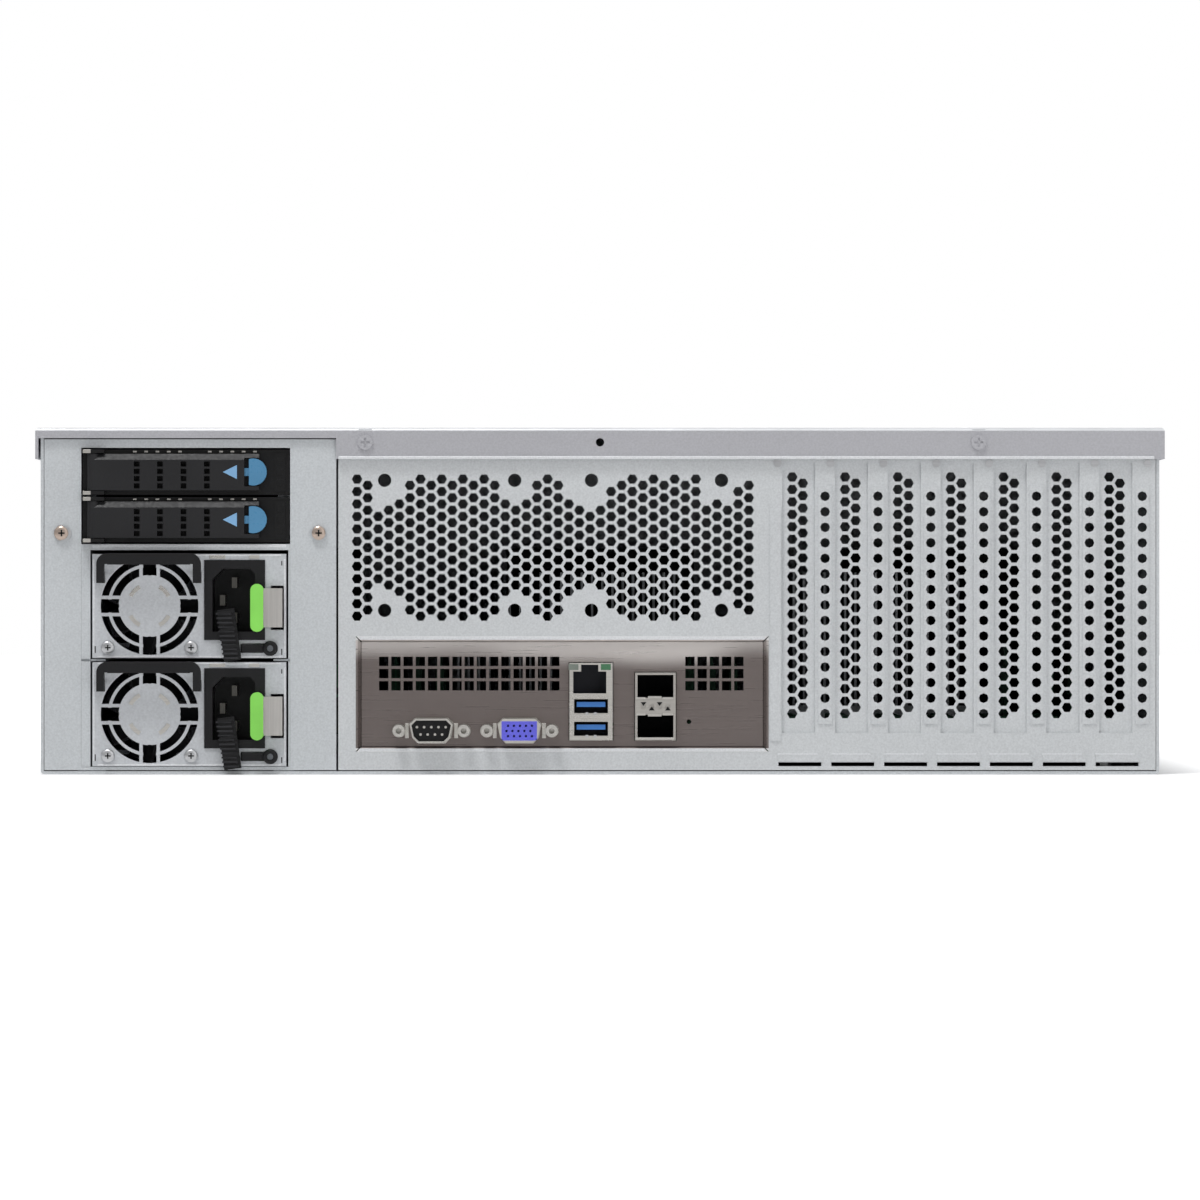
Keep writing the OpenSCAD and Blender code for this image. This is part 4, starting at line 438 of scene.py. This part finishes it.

# The sockets of the stack and of the optical cage, dark inside behind a bright lip. Inside the network and
# serial bus sockets the dark is partly their own black plastic and partly painted shade; in the cage's metal
# cavities it is painted shade.
lip = 0.3
stack_depth = (stack_low.y + lip, stack_high.y - outer)
cage_depth = (sfp_low.y + lip, sfp_high.y - outer)
jack_spans = [
    around(jack_x, jack_z0 + jack_h / 2, jack_w + over, jack_h + over, *stack_depth),
    around(jack_x, jack_z0 + jack_h, jack_notch_w + over, 2 * jack_notch_h + over, *stack_depth)]
usb_spans = [around(stack_x, z + usb_h / 2, usb_w + over, usb_h + over, *stack_depth) for z in usb_z]
tongue_z = tongue_rise + tongue_h / 2
tongue_spans = [around(stack_x, z + tongue_z, tongue_w + over, tongue_h + over, *stack_depth) for z in usb_z]
cavity_rise = (strip_h + sfp_cavity_h) / 2
cavity_shade_spans = [around(sfp_x, strip_z + side * cavity_rise, sfp_w - 2 * sfp_wall + over,
                       sfp_cavity_h + over, *cage_depth) for side in (-1, 1)]
stack_metal = brushed("stack_metal", bright_steel, "x", 0.28, 0.85)
stack_metal.patch(jack_spans + usb_spans, srgb(24, 28, 44), 0.5)
stack_metal.patch(tongue_spans, srgb(64, 128, 205), 0.4)
sfp_metal = brushed("sfp_metal", srgb(196, 192, 186), "x", 0.28, 0.85)
sfp_metal.patch(cavity_shade_spans, srgb(20, 20, 22), 0.6)

# Painted highlights: a light band on the shield's upper and lower rim, and on the lid's upper edge at the
# rear
rim_highlight_t = 1.4
lid_highlight_t = 1.2
lid_highlight_reach = 3
rim_highlight_x = (shield_low.x, shield_high.x)
rim_highlight_y = (shield_low.y - outer, shield_high.y)
rim_highlight_zs = ((shield_high.z - rim_highlight_t, shield_high.z + outer), (shield_low.z - outer, shield_low.z + rim_highlight_t))
shield_metal.patch([(rim_highlight_x, rim_highlight_y, rim_z) for rim_z in rim_highlight_zs], srgb(226, 226, 226), 0.35, 0.2)
cover_steel.patch([(case_x, (rear_y - outer, rear_y + lid_highlight_reach),
                    (lid_high.z - lid_highlight_t, lid_high.z + outer))], srgb(222, 224, 227), 0.35, 0.2)

# Green pads of the latches, and metal pins in the inlets, whose metal is darkened as painted shade deep in
# the sockets
latch_metal = brushed("latch_metal", srgb(205, 202, 198), "z", 0.3, 0.7)
latch_y0 = box("psu_latch_1")[0].y - outer
latch_metal.patch([psu_span(n, (0, pad_edge), (0, psu_pitch), latch_y0, 0) for n in module_numbers],
                  srgb(138, 222, 92), 0.4)
inlet_plastic = plastic("inlet_plastic", srgb(24, 24, 26), 0.4)
inlet_plastic.patch([pin_span(n, u, v) for n in module_numbers for u, v in pin_places],
                    srgb(96, 94, 90), 0.35, 0.6)

# Carriers and trays: a plastic face, and metal behind it
carrier_face_d = 16
tray_face_d = 6
carrier_front = box("drive_carrier_1")[1].y
carrier_metal = plastic("carrier_metal", srgb(44, 44, 47), 0.45)
carrier_metal.patch([(case_x, (0, carrier_front - carrier_face_d), case_z)], drive_steel, 0.35, 0.7)
tray_metal = plastic("tray_metal", srgb(15, 15, 16), 0.45)
tray_metal.patch([(case_x, (back_y + tray_face_d, 0), case_z)], drive_steel, 0.35, 0.7)

finishes = {
    "base_tray": plate_steel, "top_cover": cover_steel, "rear_panel": panel_steel,
    "psu_bay_plate": plate_steel, "io_shield": shield_metal, "slot_covers": panel_steel,
    "chassis_screws": zinc, "motherboard": board_green, "cpu_coolers": fin_metal,
    "memory_modules": board_green, "serial_port": serial_metal, "vga_port": vga_metal,
    "lan_usb_stack": stack_metal, "sfp_cage": sfp_metal, "fan_wall": plate_steel,
    "fan_frames": black_plastic, "backplanes": board_green, "front_bay_cage": plate_steel,
    "rear_bay_cage": plate_steel, "rack_ears": cover_steel, "ear_handles": handle_metal,
    "front_panel": front_black, "control_panel": black_plastic, "power_button": button_grey,
    "reset_button": button_grey, "fan_rotor": dark_plastic, "drive_carrier": carrier_metal,
    "carrier_lever": black_plastic, "rear_tray": tray_metal, "rear_lever": dark_plastic,
    "rear_catch": catch_blue, "psu_module": psu_steel, "power_inlet": inlet_plastic,
    "psu_rotor": dark_plastic, "psu_handle": black_plastic, "psu_latch": latch_metal,
}
for name, obj in nodes.items():
    kind = name if name in finishes else name.rsplit("_", 1)[0]
    for slot in obj.material_slots:
        slot.material = finishes[kind].material


# How far thin details stand out of a face, and the sizes of the small connectors' inserts and ears
skin = 0.15
insert_depth = 3.2
insert_t = 1
insert_corner = 1.9
ear_in = 8.7
ear_w = 1.5
ear_h = 5.8
ear_rise = 0.35

# How far behind the case the rays start that find its surface
ray_lead = 100


def prism(name, outline, y0, y1, finish, body):
    """An outline in x and z, in millimetres, drawn out along y."""
    count = len(outline)
    points = [(x, y, z) for y in (y0, y1) for x, z in outline]
    faces = [tuple(reversed(range(count))), tuple(range(count, 2 * count))]
    faces += [(i, (i + 1) % count, count + (i + 1) % count, count + i) for i in range(count)]
    return piece(name, points, faces, finish, body)


def dsub_outline(x, z, w, h, c):
    """The outline of a small connector's face round a middle, wider above, with its corners cut by c."""
    return [(x + u, z + v) for u, v in (
        (-w / 2 + c, h / 2), (w / 2 - c, h / 2), (w / 2, h / 2 - c), (w / 2 - c / 2, -h / 2 + c),
        (w / 2 - c * 1.5, -h / 2), (-w / 2 + c * 1.5, -h / 2), (-w / 2 + c / 2, -h / 2 + c),
        (-w / 2, h / 2 - c))]


def rear_face(x, z):
    """The y of the first surface seen from the rear at a place, in millimetres."""
    start = millimetres(x, rear_y - ray_lead, z)
    found, place = bpy.context.scene.ray_cast(bpy.context.view_layer.depsgraph, start, Vector((0, 1, 0)))[:2]
    return place.y * 1000 if found else rear_y


def on_face(x, z, w, h, rise=skin):
    """The spans of a thin box that lies on the rear surface, from its middle, width, height and rise."""
    y = rear_face(x, z)
    return around(x, z, w, h, y - rise, y + skin)


def lathed(name, centres, profile, finish, body):
    """Round pieces along y. The profile gives radii and rises from the face, from the rim to the middle."""
    sides = 28
    points, faces = [], []
    for cx, cy, cz in centres:
        first = len(points)
        for radius, rise in profile:
            for i in range(sides):
                turn = math.tau * i / sides
                points.append((cx + radius * math.cos(turn), cy - rise, cz + radius * math.sin(turn)))
        last = first + sides * (len(profile) - 1)
        faces.append(tuple(range(first, first + sides))[::-1])
        faces.append(tuple(range(last, last + sides)))
        for low in range(first, last, sides):
            for i in range(sides):
                j = (i + 1) % sides
                faces.append((low + i, low + j, low + sides + j, low + sides + i))
    obj = piece(name, points, faces, finish, body)
    for face in obj.data.polygons:
        face.use_smooth = len(face.vertices) == 4


def screw_heads(name, places, radius, rise, finish, body):
    """Domed heads on the rear surface at places in x and z, with a black cross on each dome as painted shade
    in its cross recess.
    """
    centres = [(x, rear_face(x, z) + skin, z) for x, z in places]
    lathed(name, centres, [(radius, 0), (radius, rise * 0.4), (radius * 0.86, rise * 0.75),
                           (radius * 0.6, rise * 0.95), (radius * 0.3, rise)], finish, body)
    # Black bars just proud of each dome: painted shade in the cross recess
    cross = []
    bar_l = 0.85 * radius
    bar_w = 0.2 * radius
    for x, y, z in centres:
        for w, h in ((bar_l, bar_w), (bar_w, bar_l)):
            cross.append(around(x, z, w, h, y - rise - 0.02, y - rise * 0.9))
    boxes(f"{name}_recess", cross, deep_black, body)


def arcs(name, x, y, z, radius, width, rise, finish, body):
    """Four raised arcs round a middle on the face y, each over 36 degrees, midway between the axes."""
    half = math.radians(18)
    steps = 6
    points, faces = [], []
    for quarter in range(4):
        first = len(points)
        for i in range(steps + 1):
            turn = math.radians(45 + 90 * quarter) + half * (2 * i / steps - 1)
            for r in (radius - width / 2, radius + width / 2):
                for depth in (y - rise, y + skin):
                    points.append((x + r * math.cos(turn), depth, z + r * math.sin(turn)))
        for a in range(first, first + 4 * steps, 4):
            b = a + 4
            faces += [(a, b, b + 2, a + 2), (a + 1, a + 3, b + 3, b + 1), (a, a + 1, b + 1, b),
                      (a + 2, b + 2, b + 3, a + 3)]
        last = first + 4 * steps
        faces += [(first, first + 2, first + 3, first + 1), (last, last + 1, last + 3, last + 2)]
    return piece(name, points, faces, finish, body, 0.1)


# Insert of the serial connector round its pins, and ears beside the shells of both small connectors
insert_y = serial_low.y + insert_depth
prism("serial_insert", dsub_outline(serial_x, serial_z, insert_w, insert_h, insert_corner),
      insert_y, insert_y + insert_t, black_plastic, "chassis")
boxes("connector_ears", [on_face(x + side * (ear_in + ear_w / 2), z, ear_w, ear_h, ear_rise)
                         for x, z in ((serial_x, serial_z), (vga_x, vga_z)) for side in (-1, 1)],
      bright_metal, "chassis", 0.1)

# Lights over the network socket and the spring tabs of the serial bus sockets
light_rise = 30.85
light_w = 3.8
light_h = 2.3
light_places = {"left": (-6.75, light_grey), "right": (5.7, light_green)}
tab_w = 1.1
tab_shift = 1.6
tab_drop = 0.2
beside_jack = 0.6
jack_face = rear_face(stack_x + jack_w / 2 + beside_jack, jack_z0 + jack_h / 2)
face_span = (jack_face - skin, jack_face + skin)
for name, (shift, finish) in light_places.items():
    lens = around(stack_x + shift, board_z + light_rise, light_w, light_h, *face_span)
    boxes(f"socket_light_{name}", [lens], finish, "chassis", 0.1)
boxes("socket_tabs", [around(stack_x + side * tab_shift, z - tab_drop, tab_w, tab_w, *face_span)
                      for z in usb_z for side in (-1, 1)], zinc, "chassis", 0.1)

# Spring bars round the strip of the optical cage, as spans in x and rises, and its marks, as places and ways
bar_h = 0.8
bars = [((-7.5, -3.8), 3.1), ((-2.9, 2.4), 3.5), ((2.7, 6.8), 3.1)]
lower_bar = (-7.5, 7.1)
lower_bar_rise = 0.1
lower_bar_h = 0.9
mark_places = [(-4.6, 0.9, 1), (-1.4, -0.9, -1), (1.6, 0.9, 1), (4.8, -0.9, -1)]
half_mark = 1.1
mark_low = 0.7
mark_top = 0.8
cage_face = rear_face(sfp_x, strip_z)
nose_z = sfp_high.z - sfp_nose_h + lower_bar_rise
bar_span = (cage_face - 2 * skin, cage_face + skin)
springs = []
for (x0, x1), rise in bars:
    for z in (strip_z - rise, strip_z + rise):
        springs.append(((sfp_x + x0, sfp_x + x1), bar_span, (z - bar_h / 2, z + bar_h / 2)))
springs.append(((sfp_x + lower_bar[0], sfp_x + lower_bar[1]), bar_span, (nose_z, nose_z + lower_bar_h)))
boxes("cage_springs", springs, bright_metal, "chassis", 0.1)
for i, (x, z, way) in enumerate(mark_places):
    base = strip_z + z + way * mark_low
    prism(f"cage_mark_{i}", [(sfp_x + x - half_mark, base), (sfp_x + x + half_mark, base),
                             (sfp_x + x, strip_z + z - way * mark_top)],
          cage_face - skin, cage_face + skin, deep_black, "chassis")

# Bead along the lower edge of the lid's flange, a hem in lighter steel as a painted highlight on its bend,
# and the plate screws
flange_h = 12
bead_h = 1.2
bead_drop = 0.1
bead_t = 1
bead_end = 4
bead_z0 = lid_high.z - flange_h - bead_drop
boxes("flange_bead", [((box("rear_panel")[0].x, lid_high.x - bead_end), (rear_y + skin, rear_y + bead_t),
                       (bead_z0, bead_z0 + bead_h))], highlight_steel, "top_cover", 0.3)
plate_screw_in = 6.7
plate_screw_z = 92.7
plate_screw_r = 2.9
plate_screw_rise = 1.3
screw_heads("plate_screw_heads",
            [(plate_low.x + plate_screw_in, plate_screw_z), (plate_high.x - plate_screw_in, plate_screw_z)],
            plate_screw_r, plate_screw_rise, copper_zinc, "chassis")

# Slotted dark duct on top of the front cage, with a closed rear wall: a dark piece that blocks the light
# seen through the vents, as painted shade inside the case
duct_side_in = 5
duct_in = 4
duct_d = 30
duct_h = 34
duct_t = 1.5
tooth_pitch = 10
tooth_w = 6
cage_low, cage_high = box("front_bay_cage")
duct_x = (cage_low.x + duct_side_in, cage_high.x - duct_side_in)
duct_y = (cage_low.y + duct_in, cage_low.y + duct_in + duct_d)
duct_z = (cage_high.z, cage_high.z + duct_t, cage_high.z + duct_h)
tooth_count = int((duct_x[1] - duct_x[0]) / tooth_pitch)
tooth_starts = [duct_x[0] + i * tooth_pitch for i in range(tooth_count)]
boxes("shading_duct", [(duct_x, duct_y, duct_z[:2]), (duct_x, (duct_y[0], duct_y[0] + duct_t), duct_z[1:])]
      + [((x, x + tooth_w), (duct_y[1] - duct_t, duct_y[1]), duct_z[1:]) for x in tooth_starts],
      dark_plastic, "chassis", 0.2)

# Painted highlights in lighter steel on bends: the shield's upper and lower rim, the hoods of the slots and
# the front edge of the shelf
bend_h = 1.2
hood_z = 7.7
hood_h = 0.8
hood_w = 15.4
slot_pitch = 20.32
slot_count = 7
shelf_z = 87.8
bend_end = 1.5
slots_x0 = box("slot_covers")[0].x
shield_mid = (shield_low.x + shield_high.x) / 2
shield_w = shield_high.x - shield_low.x
boxes("shield_bend_highlights", [on_face(shield_mid, z, shield_w - 2 * bend_end, bend_h)
                       for z in (shield_high.z - bend_h / 2 - skin, shield_low.z + bend_h / 2 + skin)],
      highlight_steel, "chassis", 0.1)
boxes("hood_bend_highlights", [on_face(slots_x0 + hood_w / 2 + i * slot_pitch, hood_z, hood_w, hood_h)
                     for i in range(slot_count)], highlight_steel, "chassis", 0.1)
boxes("shelf_bend_highlight", [on_face((psu_low.x + psu_high.x) / 2, shelf_z, psu_high.x - psu_low.x, bend_h)],
      highlight_steel, "chassis", 0.1)

# Marks, lights, painted highlights at the vents and metal skins of the rear trays
mark_w = 5.4
mark_in = 13.8
lens_x = 75.9
lens_w = 2.4
lens_h = 2.6
lens_pitch = 4.1
dot_w = 1.4
dot_h = 0.7
dot_pitch = 4.35
dot_rise = 7.9
dot_starts = (20.1, 48.9)
dot_count = 5
plating_in = 0.4
plating_w = 3
plating_rise = 8
plating_h = 1.4
for n in (1, 2):
    tray = f"rear_tray_{n}"
    lever = f"rear_lever_{n}"
    tray_low = box(tray)[0]
    lever_low, lever_high = box(lever)
    mid = (lever_low.z + lever_high.z) / 2
    tip = lever_high.x - mark_in
    prism(f"tray_mark_{n}", [(tip, mid), (tip + mark_w, mid - mark_w / 2), (tip + mark_w, mid + mark_w / 2)],
          lever_low.y - skin, lever_low.y + skin, mark_blue, lever)
    strip_y = tray_low.y + lever_high.y - lever_low.y
    boxes(f"tray_lenses_{n}", [around(tray_low.x + lens_x, mid + i * lens_pitch, lens_w, lens_h,
                                      strip_y - skin, strip_y + skin) for i in (-1, 0, 1)],
          deep_black, tray, 0.1)
    # Bright dots on the bezel's upper edge: painted highlights of the light through its vents
    boxes(f"tray_vent_highlights_{n}", [around(tray_low.x + start + i * dot_pitch, mid + dot_rise, dot_w, dot_h,
                                          strip_y - skin, strip_y + 2 * skin)
                                   for start in dot_starts for i in range(dot_count)],
          bright_metal, tray, 0.1)
    plating_x = tray_low.x + plating_in + plating_w / 2
    boxes(f"tray_skins_{n}", [around(plating_x, mid + rise, plating_w, plating_h,
                                     tray_low.y - skin, tray_low.y + skin)
                              for rise in (-plating_rise, plating_rise)],
          bright_metal, tray, 0.1)

# Face of the power modules, with places from each module's corner
module_w = psu_high.x - psu_low.x
module_h = psu_high.z - psu_low.z
guard = (22, 20)
guard_screws = [(6, 4), (38, 4)]
guard_screw_r = 2.6
guard_screw_rise = 1
arc_r = 8.2
arc_w = 1.6
arc_rise = 0.3
rim_in = 0.2
rim_w = 0.9
rim_end = 2
upright = (rim_end, module_h - rim_end)
level = (rim_end, module_w - rim_end)
rims = [((rim_in, rim_w), upright), ((module_w - rim_w, module_w - rim_in), upright),
        (level, (module_h - rim_w, module_h - rim_in)), (level, (rim_in, rim_w))]
tabs = [(45, 51.1), (60.3, 64.2)]
tab_z = (38.2, 39.5)
tab_rise = 0.4
slits = [((72.6, 73), (35.6, 37.3)), ((72.6, 73), (1.2, 3.5)), ((0.9, 1.3), (2, 4.6)),
         ((73.7, 74.2), (13.6, 23.3))]
slit_rise = 0.05
clip_arm = ((57, 66.8), (2, 5.6))
clip_arm_rise = 1.2
clip_knob = (68.4, 3.7)
knob_rise = 2
knob_profile = [(2.9, 0), (2.9, 1.6), (2.4, knob_rise), (1.6, knob_rise)]
pin_profile = [(1.2, 0), (1.2, 0.15), (0.9, 0.3)]
strap_top = Vector((50.6, 17))
strap_end = Vector((53.4, 0))
rib_count = 11
rib_w = 6
rib_h = 0.7
rib_rise = 0.5
for n in module_numbers:
    body = f"psu_module_{n}"
    corner = Vector((psu_x0, psu_low.z + (n - 1) * psu_pitch))
    hub = corner + Vector(guard)
    face = rear_face(*hub)
    screw_heads(f"guard_screw_heads_{n}", [corner + Vector(place) for place in guard_screws],
                guard_screw_r, guard_screw_rise, zinc, body)
    arcs(f"hub_arcs_{n}", hub.x, face, hub.y, arc_r, arc_w, arc_rise, bright_metal, body)
    # Thin rims of lighter steel round each module's face: painted highlights on its edges
    boxes(f"module_rim_highlights_{n}", [psu_span(n, xs, zs, face - skin, face + skin) for xs, zs in rims],
          highlight_steel, body, 0.1)
    # Bright metal strips above the inlet: painted highlights on the metal's upper edge
    boxes(f"module_edge_highlights_{n}", [psu_span(n, xs, tab_z, face - tab_rise, face + skin) for xs in tabs],
          bright_metal, body, 0.15)
    boxes(f"module_slits_{n}", [psu_span(n, xs, zs, face - slit_rise, face + skin) for xs, zs in slits],
          deep_black, body)
    boxes(f"cord_clip_arm_{n}", [psu_span(n, *clip_arm, face - clip_arm_rise, face + skin)],
          black_plastic, body, 0.5)
    knob = corner + Vector(clip_knob)
    lathed(f"cord_clip_knob_{n}", [(knob.x, face + skin, knob.y)], knob_profile, black_plastic, body)
    lathed(f"cord_clip_pin_{n}", [(knob.x, face + skin - knob_rise, knob.y)], pin_profile, button_grey, body)
    rib_places = [corner + strap_top.lerp(strap_end, i / (rib_count - 1)) for i in range(rib_count)]
    boxes(f"strap_ribs_{n}", [on_face(place.x, place.y, rib_w, rib_h, rib_rise) for place in rib_places],
          rib_black, body, 0.15)

# Camera's distance, and the width of its view, which shows the lid as wide as in the photo
view_distance = 3000
photo_width = 1200
lid_pixels = 1130
lid_width = lid_high.x - lid_low.x
frame_width = lid_width * photo_width / lid_pixels
centre_z = 67

# Pale floor, whose own light fades out round the case and is only for the camera
reach = 6
margin = (0.01, 0.02)
floor_mesh = bpy.data.meshes.new("floor")
floor_mesh.from_pydata([(-reach, -reach, 0), (reach, -reach, 0), (reach, reach, 0), (-reach, reach, 0)], [],
                       [(0, 1, 2, 3)])
floor = bpy.data.objects.new("floor", floor_mesh)
bpy.context.scene.collection.objects.link(floor)
g = Graph("floor_paper")
paper = g.noise(g.place, scale=3, detail=2)
tone = g.mixed(g.between(paper, 0, 1), srgb(240, 240, 241), srgb(247, 247, 247))
g.join(tone, g.shader.inputs["Base Color"])
g.join(tone, g.shader.inputs["Emission Color"])
inputs(g.shader, Roughness=0.9)
case_rear = min(box(node)[0].y for node in nodes) / 1000
case_front = max(box(node)[1].y for node in nodes) / 1000
case_middle = (0, (case_rear + case_front) / 2, 0)
axes = g.add("ShaderNodeSeparateXYZ")
g.join(g.vector("ABSOLUTE", g.vector("SUBTRACT", g.place, case_middle)), axes.inputs["Vector"])
past_side = g.math("SUBTRACT", axes.outputs["X"], lid_width / 2000 + margin[0])
past_end = g.math("SUBTRACT", axes.outputs["Y"], (case_front - case_rear) / 2 + margin[1])
fade = g.add("ShaderNodeMapRange", interpolation_type="SMOOTHSTEP")
inputs(fade, From_Min=-0.03, From_Max=0.04)
g.join(g.math("MAXIMUM", past_side, past_end), fade.inputs["Value"])
viewed = g.add("ShaderNodeLightPath").outputs["Is Camera Ray"]
g.join(g.math("MULTIPLY", fade.outputs["Result"], viewed), g.shader.inputs["Emission Strength"])
floor_mesh.materials.append(g.material)

# Sky, stronger overhead than near the horizon, and white to the camera
world = bpy.data.worlds.new("studio")
bpy.context.scene.world = world
world.use_nodes = True
tree = world.node_tree


def sky_math(operation, *values):
    """A Math node of the sky, from the outputs that it takes."""
    node = tree.nodes.new("ShaderNodeMath")
    node.operation = operation
    for value, target in zip(values, node.inputs):
        tree.links.new(value, target)
    return node.outputs["Value"]


direction = tree.nodes.new("ShaderNodeSeparateXYZ")
tree.links.new(tree.nodes.new("ShaderNodeTexCoord").outputs["Generated"], direction.inputs["Vector"])
sky = tree.nodes.new("ShaderNodeMapRange")
inputs(sky, From_Min=0.08, From_Max=0.6, To_Min=0.1, To_Max=0.6)
tree.links.new(sky_math("ABSOLUTE", direction.outputs["Z"]), sky.inputs["Value"])
path = tree.nodes.new("ShaderNodeLightPath")
seen = sky_math("MAXIMUM", path.outputs["Is Camera Ray"], path.outputs["Is Transmission Ray"])
background = tree.nodes["Background"]
inputs(background, Color=(1, 1, 1, 1))
tree.links.new(sky_math("MAXIMUM", seen, sky.outputs["Result"]), background.inputs["Strength"])


def lamp(name, place, size, power, target):
    """A soft square lamp at a place, in metres, that faces a target."""
    light = bpy.data.lights.new(name, "AREA")
    light.shape = "SQUARE"
    light.size = size
    light.energy = power
    obj = bpy.data.objects.new(name, light)
    obj.location = place
    obj.rotation_euler = (target - Vector(place)).to_track_quat("-Z", "Y").to_euler()
    bpy.context.scene.collection.objects.link(obj)


# Lamps, which face the middle of the rear
rear_middle = millimetres(0, rear_y, centre_z)
lamp("key", (-0.5, -1.1, 2.1), size=0.6, power=25, target=rear_middle)
lamp("fill", (1.0, -2.2, 0.7), size=1.4, power=5, target=rear_middle)

# Camera, level with the middle of the rear
camera_data = bpy.data.cameras.new("camera")
camera_data.sensor_width = 36
camera_data.lens = camera_data.sensor_width * view_distance / frame_width
camera_data.clip_end = 50
camera = bpy.data.objects.new("camera", camera_data)
camera.location = millimetres(0, rear_y - view_distance, centre_z)
camera.rotation_euler = (math.radians(90), 0, 0)
bpy.context.scene.collection.objects.link(camera)
bpy.context.scene.camera = camera
bpy.context.scene.view_settings.view_transform = "Standard"
